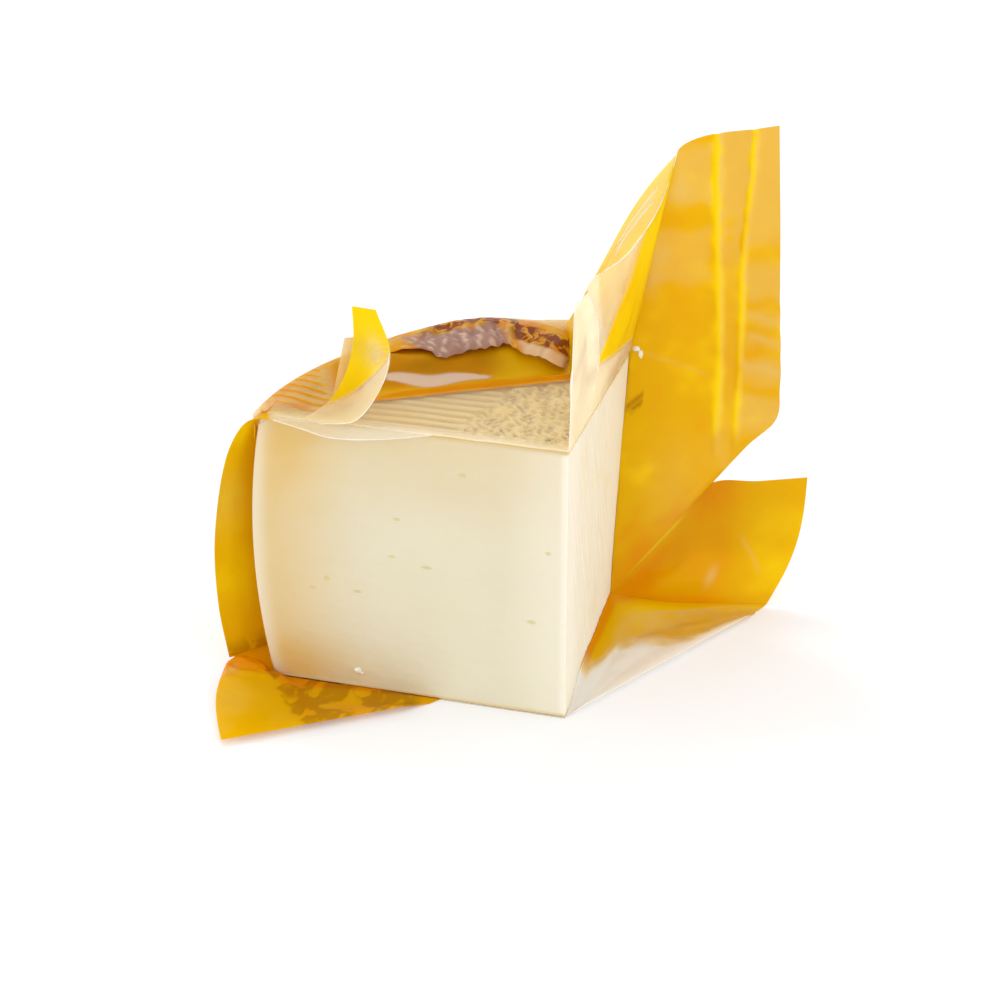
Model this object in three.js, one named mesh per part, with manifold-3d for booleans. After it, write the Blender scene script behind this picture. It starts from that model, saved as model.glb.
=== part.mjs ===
// A quarter wheel of pressed goat cheese in its opened film pack.
// Millimetres, +Z up. The pack lies on the plane z = 0.
//
// The shapes are drawn in the wedge's own axes: the tip of the wedge, which is the middle of the
// whole wheel, stands on the Z axis, the front cut face lies in the plane y = 0 towards -X, and
// the right cut face lies in the plane x = 0 towards +Y. At the end every mesh moves by
// TIP_PLACE, so that the origin is the middle of the flat base.

import * as THREE from 'three';
import { mergeVertices } from 'three/addons/utils/BufferGeometryUtils.js';
import Module from 'manifold-3d';

// ---- Driving dimensions ----------------------------------------------------------------------

const FILM_THICKNESS = 0.6; // stands for film of 0.1 mm
const FILM_GAP = 0.3; // between the film and the cheese
const TIP_PLACE = new THREE.Vector3(30, -30, 0);

const CHEESE_HEIGHT = 70.5;
const BARREL_RADIUS = 78.8; // widest, a little over half way up
const BARREL_HEIGHT = 38; // where the rim is widest
const BARREL_DROP = 3.6; // how far the rim falls back at BARREL_SPAN above or below that
const BARREL_SPAN = 35;
const TOP_ROUNDING = 4;
const BOTTOM_ROUNDING = 3;

const RIDGE_PITCH = 3.35; // the press cloth's ridges, which run along the front cut face
const GROOVE_DEPTH = 0.7;
const GROOVE_WIDTH = 2.3;
const ROSETTE_REACH = 25; // the ridges end this far from the tip, and the rosette begins
const ROSETTE_PITCH = 5.2;

const HUMP_RISE = 5.2; // loose film over the back of the top
const WALL_HEIGHT = 34; // film standing up along the right edge of the top
const SAIL_TOP = 131.4;
const SAIL_REACH = 37; // how far the sail goes to the right of the wedge
const FLAP_REACH = 44;

const FILM_BOTTOM = FILM_THICKNESS / 2; // the middle of the film that lies on the ground
const CHEESE_BOTTOM = FILM_THICKNESS + FILM_GAP;
const CHEESE_TOP = CHEESE_BOTTOM + CHEESE_HEIGHT;
const FILM_OFFSET = FILM_GAP + FILM_THICKNESS / 2; // from the cheese to the film's middle
const FILM_TOP = CHEESE_TOP + FILM_OFFSET;

// ---- Solids ----------------------------------------------------------------------------------

const manifold = await Module();
manifold.setup();

const point = (x, y, z) => new THREE.Vector3(x, y, z);
const curve = (...points) => new THREE.CatmullRomCurve3(points, false, 'centripetal');
const radians = THREE.MathUtils.degToRad;

function toSolid(geometry) {
  const bare = geometry.index ? geometry.toNonIndexed() : geometry;
  bare.deleteAttribute('normal');
  bare.deleteAttribute('uv');
  const merged = mergeVertices(bare, 1e-4);
  return new manifold.Manifold(new manifold.Mesh({
    numProp: 3,
    vertProperties: new Float32Array(merged.attributes.position.array),
    triVerts: new Uint32Array(merged.index.array),
  }));
}

function toGeometry(solid) {
  const mesh = solid.getMesh();
  const geometry = new THREE.BufferGeometry();
  geometry.setAttribute('position', new THREE.BufferAttribute(mesh.vertProperties, 3));
  geometry.setIndex(new THREE.BufferAttribute(mesh.triVerts, 1));
  return geometry;
}

function joined(solids) {
  return solids.reduce((whole, solid) => whole.add(solid));
}

// Folds that touch can shut in a pinhole: the outer skin alone is the solid without it.
function outerSkin(solid) {
  return solid.decompose().reduce((most, piece) => (piece.volume() > most.volume() ? piece : most));
}

// A thin closed solid round the surface that place(u, v) gives, for u and v from 0 to 1.
function sheet(place, columns, rows, thickness = FILM_THICKNESS) {
  const middle = [];
  for (let row = 0; row <= rows; row += 1) {
    for (let column = 0; column <= columns; column += 1) {
      middle.push(place(column / columns, row / rows));
    }
  }
  const stride = columns + 1;
  const at = (column, row) => middle[
    THREE.MathUtils.clamp(row, 0, rows) * stride + THREE.MathUtils.clamp(column, 0, columns)];
  const positions = [];
  for (const side of [0.5, -0.5]) {
    for (let row = 0; row <= rows; row += 1) {
      for (let column = 0; column <= columns; column += 1) {
        const along = at(column + 1, row).clone().sub(at(column - 1, row));
        const across = at(column, row + 1).clone().sub(at(column, row - 1));
        const normal = along.cross(across).normalize();
        const corner = at(column, row).clone().addScaledVector(normal, side * thickness);
        positions.push(corner.x, corner.y, corner.z);
      }
    }
  }
  const layer = stride * (rows + 1);
  const faces = [];
  const quad = (a, b, c, d) => faces.push(a, b, c, a, c, d);
  for (let row = 0; row < rows; row += 1) {
    for (let column = 0; column < columns; column += 1) {
      const a = row * stride + column;
      quad(a, a + 1, a + stride + 1, a + stride);
      quad(layer + a + stride, layer + a + stride + 1, layer + a + 1, layer + a);
    }
  }
  for (let column = 0; column < columns; column += 1) {
    const last = rows * stride + column;
    quad(column + 1, column, layer + column, layer + column + 1);
    quad(last, last + 1, layer + last + 1, layer + last);
  }
  for (let row = 0; row < rows; row += 1) {
    const left = row * stride;
    const right = left + columns;
    quad(left, left + stride, layer + left + stride, layer + left);
    quad(right + stride, right, layer + right, layer + right + stride);
  }
  const geometry = new THREE.BufferGeometry();
  geometry.setAttribute('position', new THREE.Float32BufferAttribute(positions, 3));
  geometry.setIndex(faces);
  return toSolid(geometry);
}

// A sheet of straight lines from one curve to another, with an optional bulge in its middle.
function ruledSheet(first, second, columns, rows, bulge = point(0, 0, 0)) {
  const place = (u, v) => {
    const swell = Math.sin(Math.PI * u) * Math.sin(Math.PI * v);
    return first.getPoint(u).lerp(second.getPoint(u), v).addScaledVector(bulge, swell);
  };
  return sheet(place, columns, rows);
}

// ---- Cheese ----------------------------------------------------------------------------------

function barrelRadius(height) {
  const part = (height - BARREL_HEIGHT) / BARREL_SPAN;
  return BARREL_RADIUS - BARREL_DROP * part * part;
}

// The rim's outline from the bottom to the top, as radius and height, grown by an offset.
function rimOutline(offset, barrelSteps = 8, cornerSteps = 4) {
  const low = CHEESE_BOTTOM - offset;
  const high = CHEESE_TOP + offset;
  const lowCorner = BOTTOM_ROUNDING + offset;
  const highCorner = TOP_ROUNDING + offset;
  const lowRadius = barrelRadius(low + lowCorner) + offset;
  const highRadius = barrelRadius(high - highCorner) + offset;
  const outline = [];
  for (let step = 0; step < cornerSteps; step += 1) {
    const turn = (Math.PI / 2) * (step / cornerSteps);
    outline.push(new THREE.Vector2(
      lowRadius - lowCorner * (1 - Math.sin(turn)), low + lowCorner * (1 - Math.cos(turn))));
  }
  for (let step = 0; step <= barrelSteps; step += 1) {
    const height = THREE.MathUtils.lerp(low + lowCorner, high - highCorner, step / barrelSteps);
    outline.push(new THREE.Vector2(barrelRadius(height) + offset, height));
  }
  for (let step = 1; step <= cornerSteps; step += 1) {
    const turn = (Math.PI / 2) * (step / cornerSteps);
    outline.push(new THREE.Vector2(
      highRadius - highCorner * (1 - Math.cos(turn)), high - highCorner * (1 - Math.sin(turn))));
  }
  return outline;
}

function wheel() {
  const outline = [
    new THREE.Vector2(0, CHEESE_BOTTOM),
    ...rimOutline(0),
    new THREE.Vector2(0, CHEESE_TOP),
  ];
  const segments = 96;
  const lathe = new THREE.LatheGeometry(outline, segments);
  lathe.rotateX(Math.PI / 2);
  return toSolid(lathe);
}

// A V groove in the top, with its middle at x, y, turned by an angle about Z.
function groove(length, x, y, angle = 0, depth = GROOVE_DEPTH) {
  const side = 2;
  const halfDiagonal = side * Math.SQRT1_2;
  const cutter = new THREE.BoxGeometry(length, side, side);
  cutter.rotateX(Math.PI / 4);
  cutter.scale(1, GROOVE_WIDTH / 2 / depth, 1);
  cutter.rotateZ(angle);
  cutter.translate(x, y, CHEESE_TOP + halfDiagonal - depth);
  return toSolid(cutter);
}

function pressMarks() {
  const cuts = [];
  const ridgeCount = Math.floor(BARREL_RADIUS / RIDGE_PITCH);
  for (let ridge = 0; ridge < ridgeCount; ridge += 1) {
    const y = (ridge + 0.6) * RIDGE_PITCH;
    const insideRosette = y < 2 * ROSETTE_REACH;
    const end = insideRosette ? -ROSETTE_REACH + 1.5 * Math.sin(2.3 * ridge) : 2;
    const start = -BARREL_RADIUS - 2;
    cuts.push(groove(end - start, (start + end) / 2, y));
  }
  const rows = Math.floor((2 * ROSETTE_REACH) / ROSETTE_PITCH);
  for (let row = 0; row < rows; row += 1) {
    for (let column = 0; column < 4; column += 1) {
      const x = -3.5 - ROSETTE_PITCH * (column + 0.35 * (row % 2));
      const y = 2.6 + ROSETTE_PITCH * row;
      const lean = (column + row) % 2 === 0 ? 38 : -38;
      cuts.push(groove(0.8 * ROSETTE_PITCH, x, y, radians(lean), 0.8 * GROOVE_DEPTH));
    }
  }
  return joined(cuts);
}

function cheeseSolid() {
  const reach = 2 * BARREL_RADIUS;
  const quarter = new THREE.BoxGeometry(reach, reach, reach);
  quarter.translate(-reach / 2, reach / 2, 0);
  return wheel().intersect(toSolid(quarter)).subtract(pressMarks());
}

// ---- Film on the cheese ----------------------------------------------------------------------

// Maps a square onto a quarter disc without a pole, from the tip at u = v = 0.
function quarterDisc(u, v, radius) {
  return new THREE.Vector2(
    -radius * u * Math.sqrt(1 - (v * v) / 2), radius * v * Math.sqrt(1 - (u * u) / 2));
}

// The loose film behind the middle of the top rises along a line that crosses it slantwise.
const HUMP_START = new THREE.Vector2(-50, 16);
const HUMP_END = new THREE.Vector2(-9, 40);

function humpRise(x, y) {
  const line = HUMP_END.clone().sub(HUMP_START);
  const length = line.length();
  const along = line.normalize();
  const step = new THREE.Vector2(x, y).sub(HUMP_START);
  const distance = step.dot(along);
  const behind = step.y * along.x - step.x * along.y;
  const smooth = THREE.MathUtils.smoothstep;
  const ends = smooth(distance, -10, 6) * (1 - smooth(distance, length - 8, length + 4));
  return HUMP_RISE * ends * smooth(behind, 0, 13) * (1 - smooth(behind, 16, 33));
}

function topFilm() {
  const radius = barrelRadius(CHEESE_TOP) - 2.5;
  const overhang = FILM_OFFSET + FILM_THICKNESS / 2;
  return sheet((u, v) => {
    const flat = quarterDisc(u, v, radius + overhang);
    flat.x += overhang;
    flat.y -= overhang;
    return point(flat.x, flat.y, FILM_TOP + humpRise(flat.x, flat.y));
  }, 17, 17);
}

function bottomFilm() {
  const radius = barrelRadius(CHEESE_BOTTOM) - 2;
  return sheet((u, v) => {
    const flat = quarterDisc(u, v, radius);
    return point(flat.x, flat.y, FILM_BOTTOM);
  }, 8, 8);
}

function rimPoint(degrees, height, offset = FILM_OFFSET) {
  const radius = barrelRadius(height) + offset;
  const turn = radians(degrees);
  return point(-radius * Math.cos(turn), radius * Math.sin(turn), height);
}

const FLAP_START = 9; // degrees round the rim at which the left flap leaves it

function rimFilm() {
  const lap = 3; // over the top film and the bottom film
  const corner = rimOutline(FILM_OFFSET, 5, 3);
  const outline = [
    new THREE.Vector2(corner[0].x - lap, corner[0].y),
    ...corner,
    new THREE.Vector2(corner.at(-1).x - lap, corner.at(-1).y),
  ];
  const last = outline.length - 1;
  return sheet((u, v) => {
    const place = outline[Math.round(v * last)];
    const onSide = 1 - THREE.MathUtils.smoothstep(place.y, FILM_TOP - 8, FILM_TOP - 1);
    const turn = THREE.MathUtils.lerp(radians(FLAP_START) * onSide, Math.PI / 2, u);
    return point(-place.x * Math.cos(turn), place.x * Math.sin(turn), place.y);
  }, 20, last);
}

// The loose, folded-over film that lies on the back of the hump, up to the rim.
function foldedFilm() {
  const back = curve(
    point(-65, 32, FILM_TOP), point(-56, 46.5, FILM_TOP), point(-45, 57, FILM_TOP),
    point(-31, 65.5, FILM_TOP), point(-15, 70.5, FILM_TOP));
  const front = curve(
    point(-60, 31, FILM_TOP + 3), point(-45, 35, FILM_TOP + 7),
    point(-31, 44, FILM_TOP + 6.5), point(-17, 49, FILM_TOP + 3));
  const place = (u, v) => {
    const roll = 3 * Math.sqrt(Math.sin(Math.PI * u) * Math.sin(Math.PI * v));
    const wave = 0.7 * v * Math.sin(5 * Math.PI * u);
    return back.getPoint(u).lerp(front.getPoint(u), v).add(point(0, 0, roll + wave));
  };
  return sheet(place, 14, 6);
}

// The front edge of the top film curls over the cut.
function frontCurl() {
  const edge = curve(point(-73, -0.5, FILM_TOP), point(-32, -0.5, FILM_TOP));
  const lip = curve(
    point(-72, -2.6, FILM_TOP - 0.2), point(-64, -3, FILM_TOP - 1.4), point(-57, -3, FILM_TOP - 2.8),
    point(-46, -2.8, FILM_TOP - 2), point(-33, -1, FILM_TOP - 0.1));
  return ruledSheet(edge, lip, 9, 2);
}

// ---- Film that stands up at the right edge of the top ----------------------------------------

const WEDGE_SIDE = FILM_OFFSET; // x of film that lies on the right cut face
const CREASE_FOOT = point(WEDGE_SIDE, 60, FILM_TOP);
const APEX = point(10.5, 60, SAIL_TOP - 7);

const WALL_TOP = FILM_TOP + WALL_HEIGHT;
const wallTop = curve(
  point(WEDGE_SIDE, 3.8, WALL_TOP - 1), point(WEDGE_SIDE, 14, WALL_TOP + 1.5),
  point(WEDGE_SIDE, 28, WALL_TOP - 1), point(1.5, 46, WALL_TOP - 3.5),
  point(3.6, 57, WALL_TOP - 1.5), point(6.6, 60, WALL_TOP + 4.5), APEX);

function wallFilm() {
  const foot = curve(point(WEDGE_SIDE, -0.3, FILM_TOP), CREASE_FOOT);
  return ruledSheet(foot, wallTop, 12, 5);
}

const BACK_LAYER_FRONT = point(-9, 38, FILM_TOP);
const BACK_LAYER_REAR = point(-19, 66, FILM_TOP);

// How far the standing film swells to the left, from its foot at 0 up to its peak at 1.
function standingSwell(height) {
  return point(-2.6 * Math.sin(Math.PI * height * height), 0, 0);
}

// Slopes from the top of the wall down to the top of the cheese, on the wall's left.
function backLayer() {
  const foot = curve(BACK_LAYER_FRONT, BACK_LAYER_REAR);
  const ridge = curve(...[0.3, 0.45, 0.6, 0.75, 0.9, 1].map((part) => wallTop.getPoint(part)));
  return sheet((u, v) => foot.getPoint(u).lerp(ridge.getPoint(u), v)
    .addScaledVector(standingSwell(v), u), 9, 6);
}

// Closes the standing film at the back, from the rim's top edge up to the apex.
function rearLayer() {
  const [, shoulder] = rimOutline(FILM_OFFSET, 5, 3).slice(-3);
  const onShoulder = (degrees) => rimPoint(degrees, shoulder.y, shoulder.x - barrelRadius(shoulder.y));
  const foot = curve(
    BACK_LAYER_REAR, onShoulder(75), onShoulder(83), onShoulder(90).setX(WEDGE_SIDE),
    point(WEDGE_SIDE + 0.1, 60.2, FILM_TOP));
  const peak = curve(APEX.clone().add(point(-0.6, 0.9, -1.5)), APEX.clone().add(point(0, 0.25, -0.3)));
  return sheet((u, v) => foot.getPoint(u).lerp(peak.getPoint(u), v)
    .addScaledVector(standingSwell(v), 1 - u), 8, 6);
}

// ---- Film on the right: the upright sail and what lies on the ground --------------------------

// Where the film lets go of the right cut face, from the ground up.
const HEEL = point(WEDGE_SIDE, 45, 11);

const peelLine = curve(
  HEEL, point(WEDGE_SIDE, 47.5, 25), point(WEDGE_SIDE, 51, 37), point(WEDGE_SIDE, 54, 50),
  point(WEDGE_SIDE, 58, 64), CREASE_FOOT);

function clingingFilm() {
  const low = 4;
  const farEdge = curve(...[low, 20, 38, 55, FILM_TOP - 5].map((height) => point(
    WEDGE_SIDE, barrelRadius(height) + 0.2, height)));
  const nearEdge = curve(
    point(WEDGE_SIDE, 44, low), ...[0.05, 0.25, 0.5, 0.75, 1].map((part) => peelLine.getPoint(part)));
  return ruledSheet(farEdge, nearEdge, 12, 5);
}

const SAIL_CORNER = point(20.7, 68, 34);

function sail() {
  const left = curve(
    ...[0, 0.3, 0.6, 1].map((part) => peelLine.getPoint(part)),
    CREASE_FOOT.clone().lerp(APEX, 0.5), APEX);
  const right = curve(
    SAIL_CORNER, point(29.4, 68, 45.7), point(SAIL_REACH - 0.6, 68, 54),
    point(SAIL_REACH, 68, 62), point(SAIL_REACH - 1.5, 67.6, 96),
    point(SAIL_REACH - 3.2, 67, SAIL_TOP));
  const place = (u, v) => {
    const straight = left.getPoint(u).lerp(right.getPoint(u), v);
    const billow = Math.sin(Math.PI * u) * Math.sin(Math.PI * v);
    const topEdge = 2.4 * Math.sin(Math.PI * Math.sqrt(v)) * Math.max(0, 4 * u - 3);
    return straight.add(point(0, 2.5 * billow, topEdge));
  };
  return sheet(place, 14, 8);
}

const FLAP_TIP = point(FLAP_REACH, 76, 35);
const FLOOR_CORNER = point(34.3, 63.6, FILM_BOTTOM);
const FOLD_END = point(36.5, 68, 1);

const foldLine = curve(
  HEEL, point(6, 52, 5.8), point(12.5, 58, 3.2), point(22, 63, 1.4), FOLD_END);

function lowerFlap() {
  const top = curve(
    HEEL.clone().add(point(0, 0.4, 0.6)), HEEL.clone().lerp(SAIL_CORNER, 0.33),
    HEEL.clone().lerp(SAIL_CORNER, 0.66), SAIL_CORNER, point(32, 72, 34.2), FLAP_TIP);
  const place = (u, v) => {
    const straight = foldLine.getPoint(u).lerp(top.getPoint(u), v);
    const belly = Math.sin(Math.PI * v) * u * u;
    return straight.add(point(2.2 * belly, 1.5 * belly, -1.5 * belly));
  };
  return sheet(place, 12, 7);
}

function floorFilm() {
  const inside = curve(point(-5, 4, FILM_BOTTOM), point(-5, 62, FILM_BOTTOM));
  const edge = curve(point(-0.6, 0.2, FILM_BOTTOM), FLOOR_CORNER);
  return ruledSheet(inside, edge, 6, 3);
}

// The film on the ground turns up against the foot of the right cut face, and further back it
// rises to the fold line.
function heelFilm() {
  const ground = curve(
    point(1.4, 5, FILM_BOTTOM), point(4, 24, FILM_BOTTOM), point(8, 41, FILM_BOTTOM),
    point(19, 52, FILM_BOTTOM), point(34, 64, FILM_BOTTOM));
  const raised = curve(
    point(WEDGE_SIDE + 0.2, 6, 1.4), point(WEDGE_SIDE, 15, 6), point(WEDGE_SIDE, 31, 8.6),
    point(WEDGE_SIDE + 0.2, 40, 10.2), HEEL.clone().add(point(0.4, 0, 0)),
    point(12.5, 58, 3.2), FOLD_END);
  return ruledSheet(ground, raised, 14, 3);
}

// ---- Film on the left: the upright flap, the flap on the ground and the tongue ----------------

function leftFlap() {
  const shoulder = rimOutline(FILM_OFFSET, 5, 3).slice(-3);
  const root = curve(
    rimPoint(FLAP_START, 3), rimPoint(FLAP_START, 20), rimPoint(FLAP_START, 45),
    rimPoint(FLAP_START - 2, 60), rimPoint(2, FILM_TOP - 6),
    point(-shoulder[0].x - 0.2, 0.2, shoulder[0].y), point(-shoulder[1].x, 0.2, shoulder[1].y + 0.3),
    point(-shoulder[2].x, 0.2, FILM_TOP));
  const edge = curve(
    point(-86.3, -0.5, 3.6), point(-88.4, -0.5, 18), point(-88.4, -0.5, 37),
    point(-84, -0.5, 60), point(-79, -1.2, FILM_TOP - 3), point(-75, -2.2, FILM_TOP - 0.6),
    point(-71, -2.6, FILM_TOP - 0.2));
  return ruledSheet(root, edge, 16, 3);
}

const POCKET_TOP = point(-84, -0.5, 4.2);

function groundFlap() {
  const inner = curve(
    point(-31, 1, FILM_BOTTOM), point(-55, 1, FILM_BOTTOM), point(-74.5, 0.8, FILM_BOTTOM),
    point(-79, 1.5, 2.4), POCKET_TOP, point(-86, -3.1, 3.4));
  const front = curve(point(-33.5, -2.5, FILM_BOTTOM), point(-75.8, -32.7, FILM_BOTTOM));
  const place = (u, v) => inner.getPoint(u).lerp(front.getPoint(u), v)
    .add(point(-2.2 * Math.sin(Math.PI * v) * u ** 6, 0, 0));
  return sheet(place, 12, 4);
}

// Joins the upright flap to the flap on the ground, round the lower left corner of the cut.
function pocketFilm() {
  const low = curve(point(-74.5, 0.8, FILM_BOTTOM), point(-79, 1.5, 2.4), POCKET_TOP);
  const high = curve(rimPoint(FLAP_START, 3.4), point(-81.5, 5.5, 3.8), point(-86.3, -0.5, 4));
  return ruledSheet(low, high, 4, 3);
}

// A torn tongue of the top film stands up near the front left corner.
function tongue() {
  const left = curve(
    point(-64, -0.4, FILM_TOP), point(-59.1, 4, 75.5), point(-56.3, 8, 81.3),
    point(-55.4, 11, 88.4), point(-56.5, 14, 95.7));
  const right = curve(
    point(-60, -1.6, FILM_TOP - 0.4), point(-51, -1, 73.6), point(-45.3, 3, 82.5),
    point(-45, 7, 88.3), point(-50, 12, 96.3));
  return ruledSheet(left, right, 12, 3, point(0, 1.5, -1));
}

function tornFilm() {
  const foot = curve(point(-60.5, 9, FILM_TOP), point(-55, 11, FILM_TOP));
  const end = curve(point(-59, 15, 86.9), point(-56.3, 15.5, 87.2));
  return ruledSheet(foot, end, 3, 6, point(0, -1, 0));
}

function filmSolid() {
  return outerSkin(joined([
    topFilm(), rimFilm(), bottomFilm(), foldedFilm(), frontCurl(),
    wallFilm(), backLayer(), rearLayer(), clingingFilm(),
    sail(), lowerFlap(), floorFilm(), heelFilm(),
    leftFlap(), groundFlap(), pocketFilm(), tongue(), tornFilm(),
  ]));
}

// ---- The object ------------------------------------------------------------------------------

function part(name, solid, material) {
  const mesh = new THREE.Mesh(toGeometry(solid), material);
  mesh.name = name;
  mesh.position.copy(TIP_PLACE);
  return mesh;
}

const cheeseMaterial = new THREE.MeshStandardMaterial({ color: 0xe8dfb8, roughness: 0.6, metalness: 0 });
const filmMaterial = new THREE.MeshStandardMaterial({ color: 0xecb412, roughness: 0.25, metalness: 0 });

const pack = new THREE.Group();
pack.add(part('cheese', cheeseSolid(), cheeseMaterial));
pack.add(part('film', filmSolid(), filmMaterial));

export default pack;
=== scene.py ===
"""A quarter wheel of pressed goat cheese lying in its opened film pack.

Shapes are drawn in the wedge's own axes, in millimetres: the tip stands on the Z axis, the front
cut face lies in the plane y = 0 towards -X and the right cut face in the plane x = 0 towards +Y.
"""

import logging
import math
from collections.abc import Callable
from dataclasses import dataclass, field
from enum import Enum

import bpy
import numpy as np
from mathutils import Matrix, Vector


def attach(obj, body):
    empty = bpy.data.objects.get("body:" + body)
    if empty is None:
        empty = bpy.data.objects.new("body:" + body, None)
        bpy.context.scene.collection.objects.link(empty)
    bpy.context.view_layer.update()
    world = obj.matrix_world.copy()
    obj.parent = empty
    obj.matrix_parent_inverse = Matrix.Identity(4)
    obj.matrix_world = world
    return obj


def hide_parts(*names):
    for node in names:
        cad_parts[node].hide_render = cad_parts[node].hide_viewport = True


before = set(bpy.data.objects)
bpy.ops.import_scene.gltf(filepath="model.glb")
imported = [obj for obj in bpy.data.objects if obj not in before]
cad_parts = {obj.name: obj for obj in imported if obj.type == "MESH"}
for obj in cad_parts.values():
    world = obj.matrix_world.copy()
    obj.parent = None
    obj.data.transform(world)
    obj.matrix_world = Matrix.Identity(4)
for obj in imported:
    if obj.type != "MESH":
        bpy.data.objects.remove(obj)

LOG = logging.getLogger("goat_cheese")
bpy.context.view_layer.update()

Array = np.ndarray
Spot = tuple[float, float, float]
Colour = tuple[float, float, float]
Place = Callable[[Array, Array], Array]

TIP_PLACE = np.array([30.0, -30.0, 0.0])
MM = 0.001


class Mark(Enum):
    """A value that every vertex of a piece carries for its finish."""

    INK = "ink"  # how densely the film is printed yellow
    HAZE = "haze_and_sheen"  # how milky clear film is or how pale printed film is, and where highlights are painted on the film
    WARM = "warm_and_shade"  # how deep the yellow goes towards orange, also where shade is painted as deeper orange
    CRIMP = "crimp"  # where the sealing bars left their pattern
    DRAG = "drag"  # where the knife dragged fine streaks across the cut
    MOTIF = "motif"  # where a brown pattern is printed
    PLUM = "plum"  # where the print is greyish purple, and where a pinkish glare is painted
    PRESS = "press"  # where the film clings to the pressed top
    RIND = "rind"  # the pressed outside of the cheese
    GROOVE = "groove"  # how deep in a groove of the rind
    TAN = "tan_and_shade"  # darker, tanner parts of the cut faces and the top: painted shade and a painted warm reflection of the yellow film
    PALE = "pale"  # paler parts of a cut face and the crumbs, with painted highlights on the tip and rim edges and the right face painted lighter
    DOUBLE = "painted_shade"  # where the print is painted darker, as shade


Marks = dict[Mark, Array | float]
Dress = Callable[[Array, Array, Array], Marks]
FILM_MARKS = (Mark.INK, Mark.HAZE, Mark.WARM, Mark.CRIMP, Mark.MOTIF, Mark.PLUM, Mark.PRESS, Mark.DOUBLE)


# ---- Numbers and curves ----


def smooth(value: Array, low: float | Array, high: float | Array) -> Array:
    """Rises smoothly from 0 at low to 1 at high."""
    part = np.clip((value - low) / (high - low), 0.0, 1.0)
    return part * part * (3.0 - 2.0 * part)


def fall(value: Array, low: float | Array, high: float | Array) -> Array:
    """Falls smoothly from 1 at low to 0 at high."""
    return 1.0 - smooth(value, low, high)


def band(value: Array, start: float | Array, full: float | Array, fade: float | Array,
         end: float | Array) -> Array:
    """Rises smoothly from 0 at start to 1 at full and falls from 1 at fade to 0 at end."""
    return smooth(value, start, full) * fall(value, fade, end)


def bell(value: Array, middle: float | Array, width: float | Array) -> Array:
    """A smooth bump of height 1 round the middle."""
    return np.exp(-(((value - middle) / width) ** 2))


def ripple(first: Array, second: Array, seed: float, wave: float) -> Array:
    """Uneven waves from -1 to 1 over two coordinates.

    Args:
        first: One coordinate of each point.
        second: The other coordinate of each point.
        seed: Shifts the waves, so that no two pieces are alike.
        wave: The main length of the waves, in the coordinates' unit.

    Returns:
        One value for each point.
    """
    turn = 2.0 * math.pi / wave
    total = np.zeros_like(first + second)
    for step, strength in enumerate((1.0, 0.7, 0.55, 0.4, 0.3)):
        angle = seed * 1.7 + step * 2.399
        along = first * math.cos(angle) + second * math.sin(angle)
        bend = 0.9 * np.sin(0.63 * turn * (first * math.sin(angle) - second) + seed * step)
        total = total + strength * np.sin(turn * (1.0 + 0.31 * step) * along + bend + seed * (step + 1))
    return total / 2.4


class Curve:
    """A centripetal Catmull-Rom curve through its points."""

    def __init__(self, *rows: Spot | Array) -> None:
        """Keeps the points that the curve goes through."""
        self.points = np.array([np.asarray(row, dtype=float) for row in rows])

    def at(self, part: Array | float) -> Array:
        """The curve's places.

        Args:
            part: From 0 at the first point to 1 at the last.

        Returns:
            One row for each part.
        """
        part = np.atleast_1d(np.asarray(part, dtype=float))
        knots = self.points
        last = len(knots) - 1
        padded = np.vstack([2 * knots[0] - knots[1], knots, 2 * knots[-1] - knots[-2]])
        start = np.clip(np.floor(part * last).astype(int), 0, last - 1)
        weight = (part * last - start)[:, None]
        before, here, there, after = (padded[start + step] for step in range(4))

        def gap(one: Array, two: Array) -> Array:
            """The knot distance between two rows of points."""
            return np.maximum(((two - one) ** 2).sum(1) ** 0.25, 1e-4)[:, None]

        first, second, third = gap(before, here), gap(here, there), gap(there, after)
        leave = (here - before) / first - (there - before) / (first + second) + (there - here) / second
        arrive = (there - here) / second - (after - here) / (second + third) + (after - there) / third
        leave, arrive = leave * second, arrive * second
        square = -3 * here + 3 * there - 2 * leave - arrive
        cube = 2 * here - 2 * there + leave + arrive
        return here + weight * (leave + weight * (square + weight * cube))


def ruled(first: Curve, second: Curve) -> Place:
    """A surface of straight lines from one curve to another.

    Args:
        first: The curve at v = 0.
        second: The curve at v = 1.

    Returns:
        What maps u, along the curves, and v, across them, onto points.
    """

    def place(u: Array, v: Array) -> Array:
        """Where each pair of u along the curves and v across them lies."""
        return first.at(u) * (1 - v)[:, None] + second.at(u) * v[:, None]

    return place


def to_row(spots: Array) -> Array:
    """Moves points from the wedge's axes in millimetres to the part's frame in metres."""
    return (spots + TIP_PLACE) * MM


# ---- Meshes ----


def deselect_all() -> None:
    """Leaves nothing selected."""
    bpy.ops.object.select_all(action="DESELECT")


def make_active(obj: bpy.types.Object) -> None:
    """Selects one object alone and makes it active."""
    deselect_all()
    obj.select_set(True)
    bpy.context.view_layer.objects.active = obj


def vertex_places(obj: bpy.types.Object) -> Array:
    """Every vertex's place in the mesh's own unit, one row each."""
    flat = np.empty(len(obj.data.vertices) * 3)
    obj.data.vertices.foreach_get("co", flat)
    return flat.reshape(-1, 3)


def set_places(obj: bpy.types.Object, spots: Array) -> None:
    """Puts every vertex at its place."""
    obj.data.vertices.foreach_set("co", spots.ravel())
    obj.data.update()


def set_mark(obj: bpy.types.Object, mark: Mark, values: Array | float) -> None:
    """Gives each vertex a value for its finish.

    Args:
        obj: The piece.
        mark: Which value is given.
        values: One value for each vertex or one for all, kept between 0 and 1.
    """
    layer = obj.data.attributes.get(mark.value)
    if layer is None:
        layer = obj.data.attributes.new(name=mark.value, type="FLOAT", domain="POINT")
    count = len(obj.data.vertices)
    clipped = np.clip(np.broadcast_to(np.asarray(values, dtype=float), (count,)), 0.0, 1.0)
    layer.data.foreach_set("value", clipped.astype(np.float32))


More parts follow.
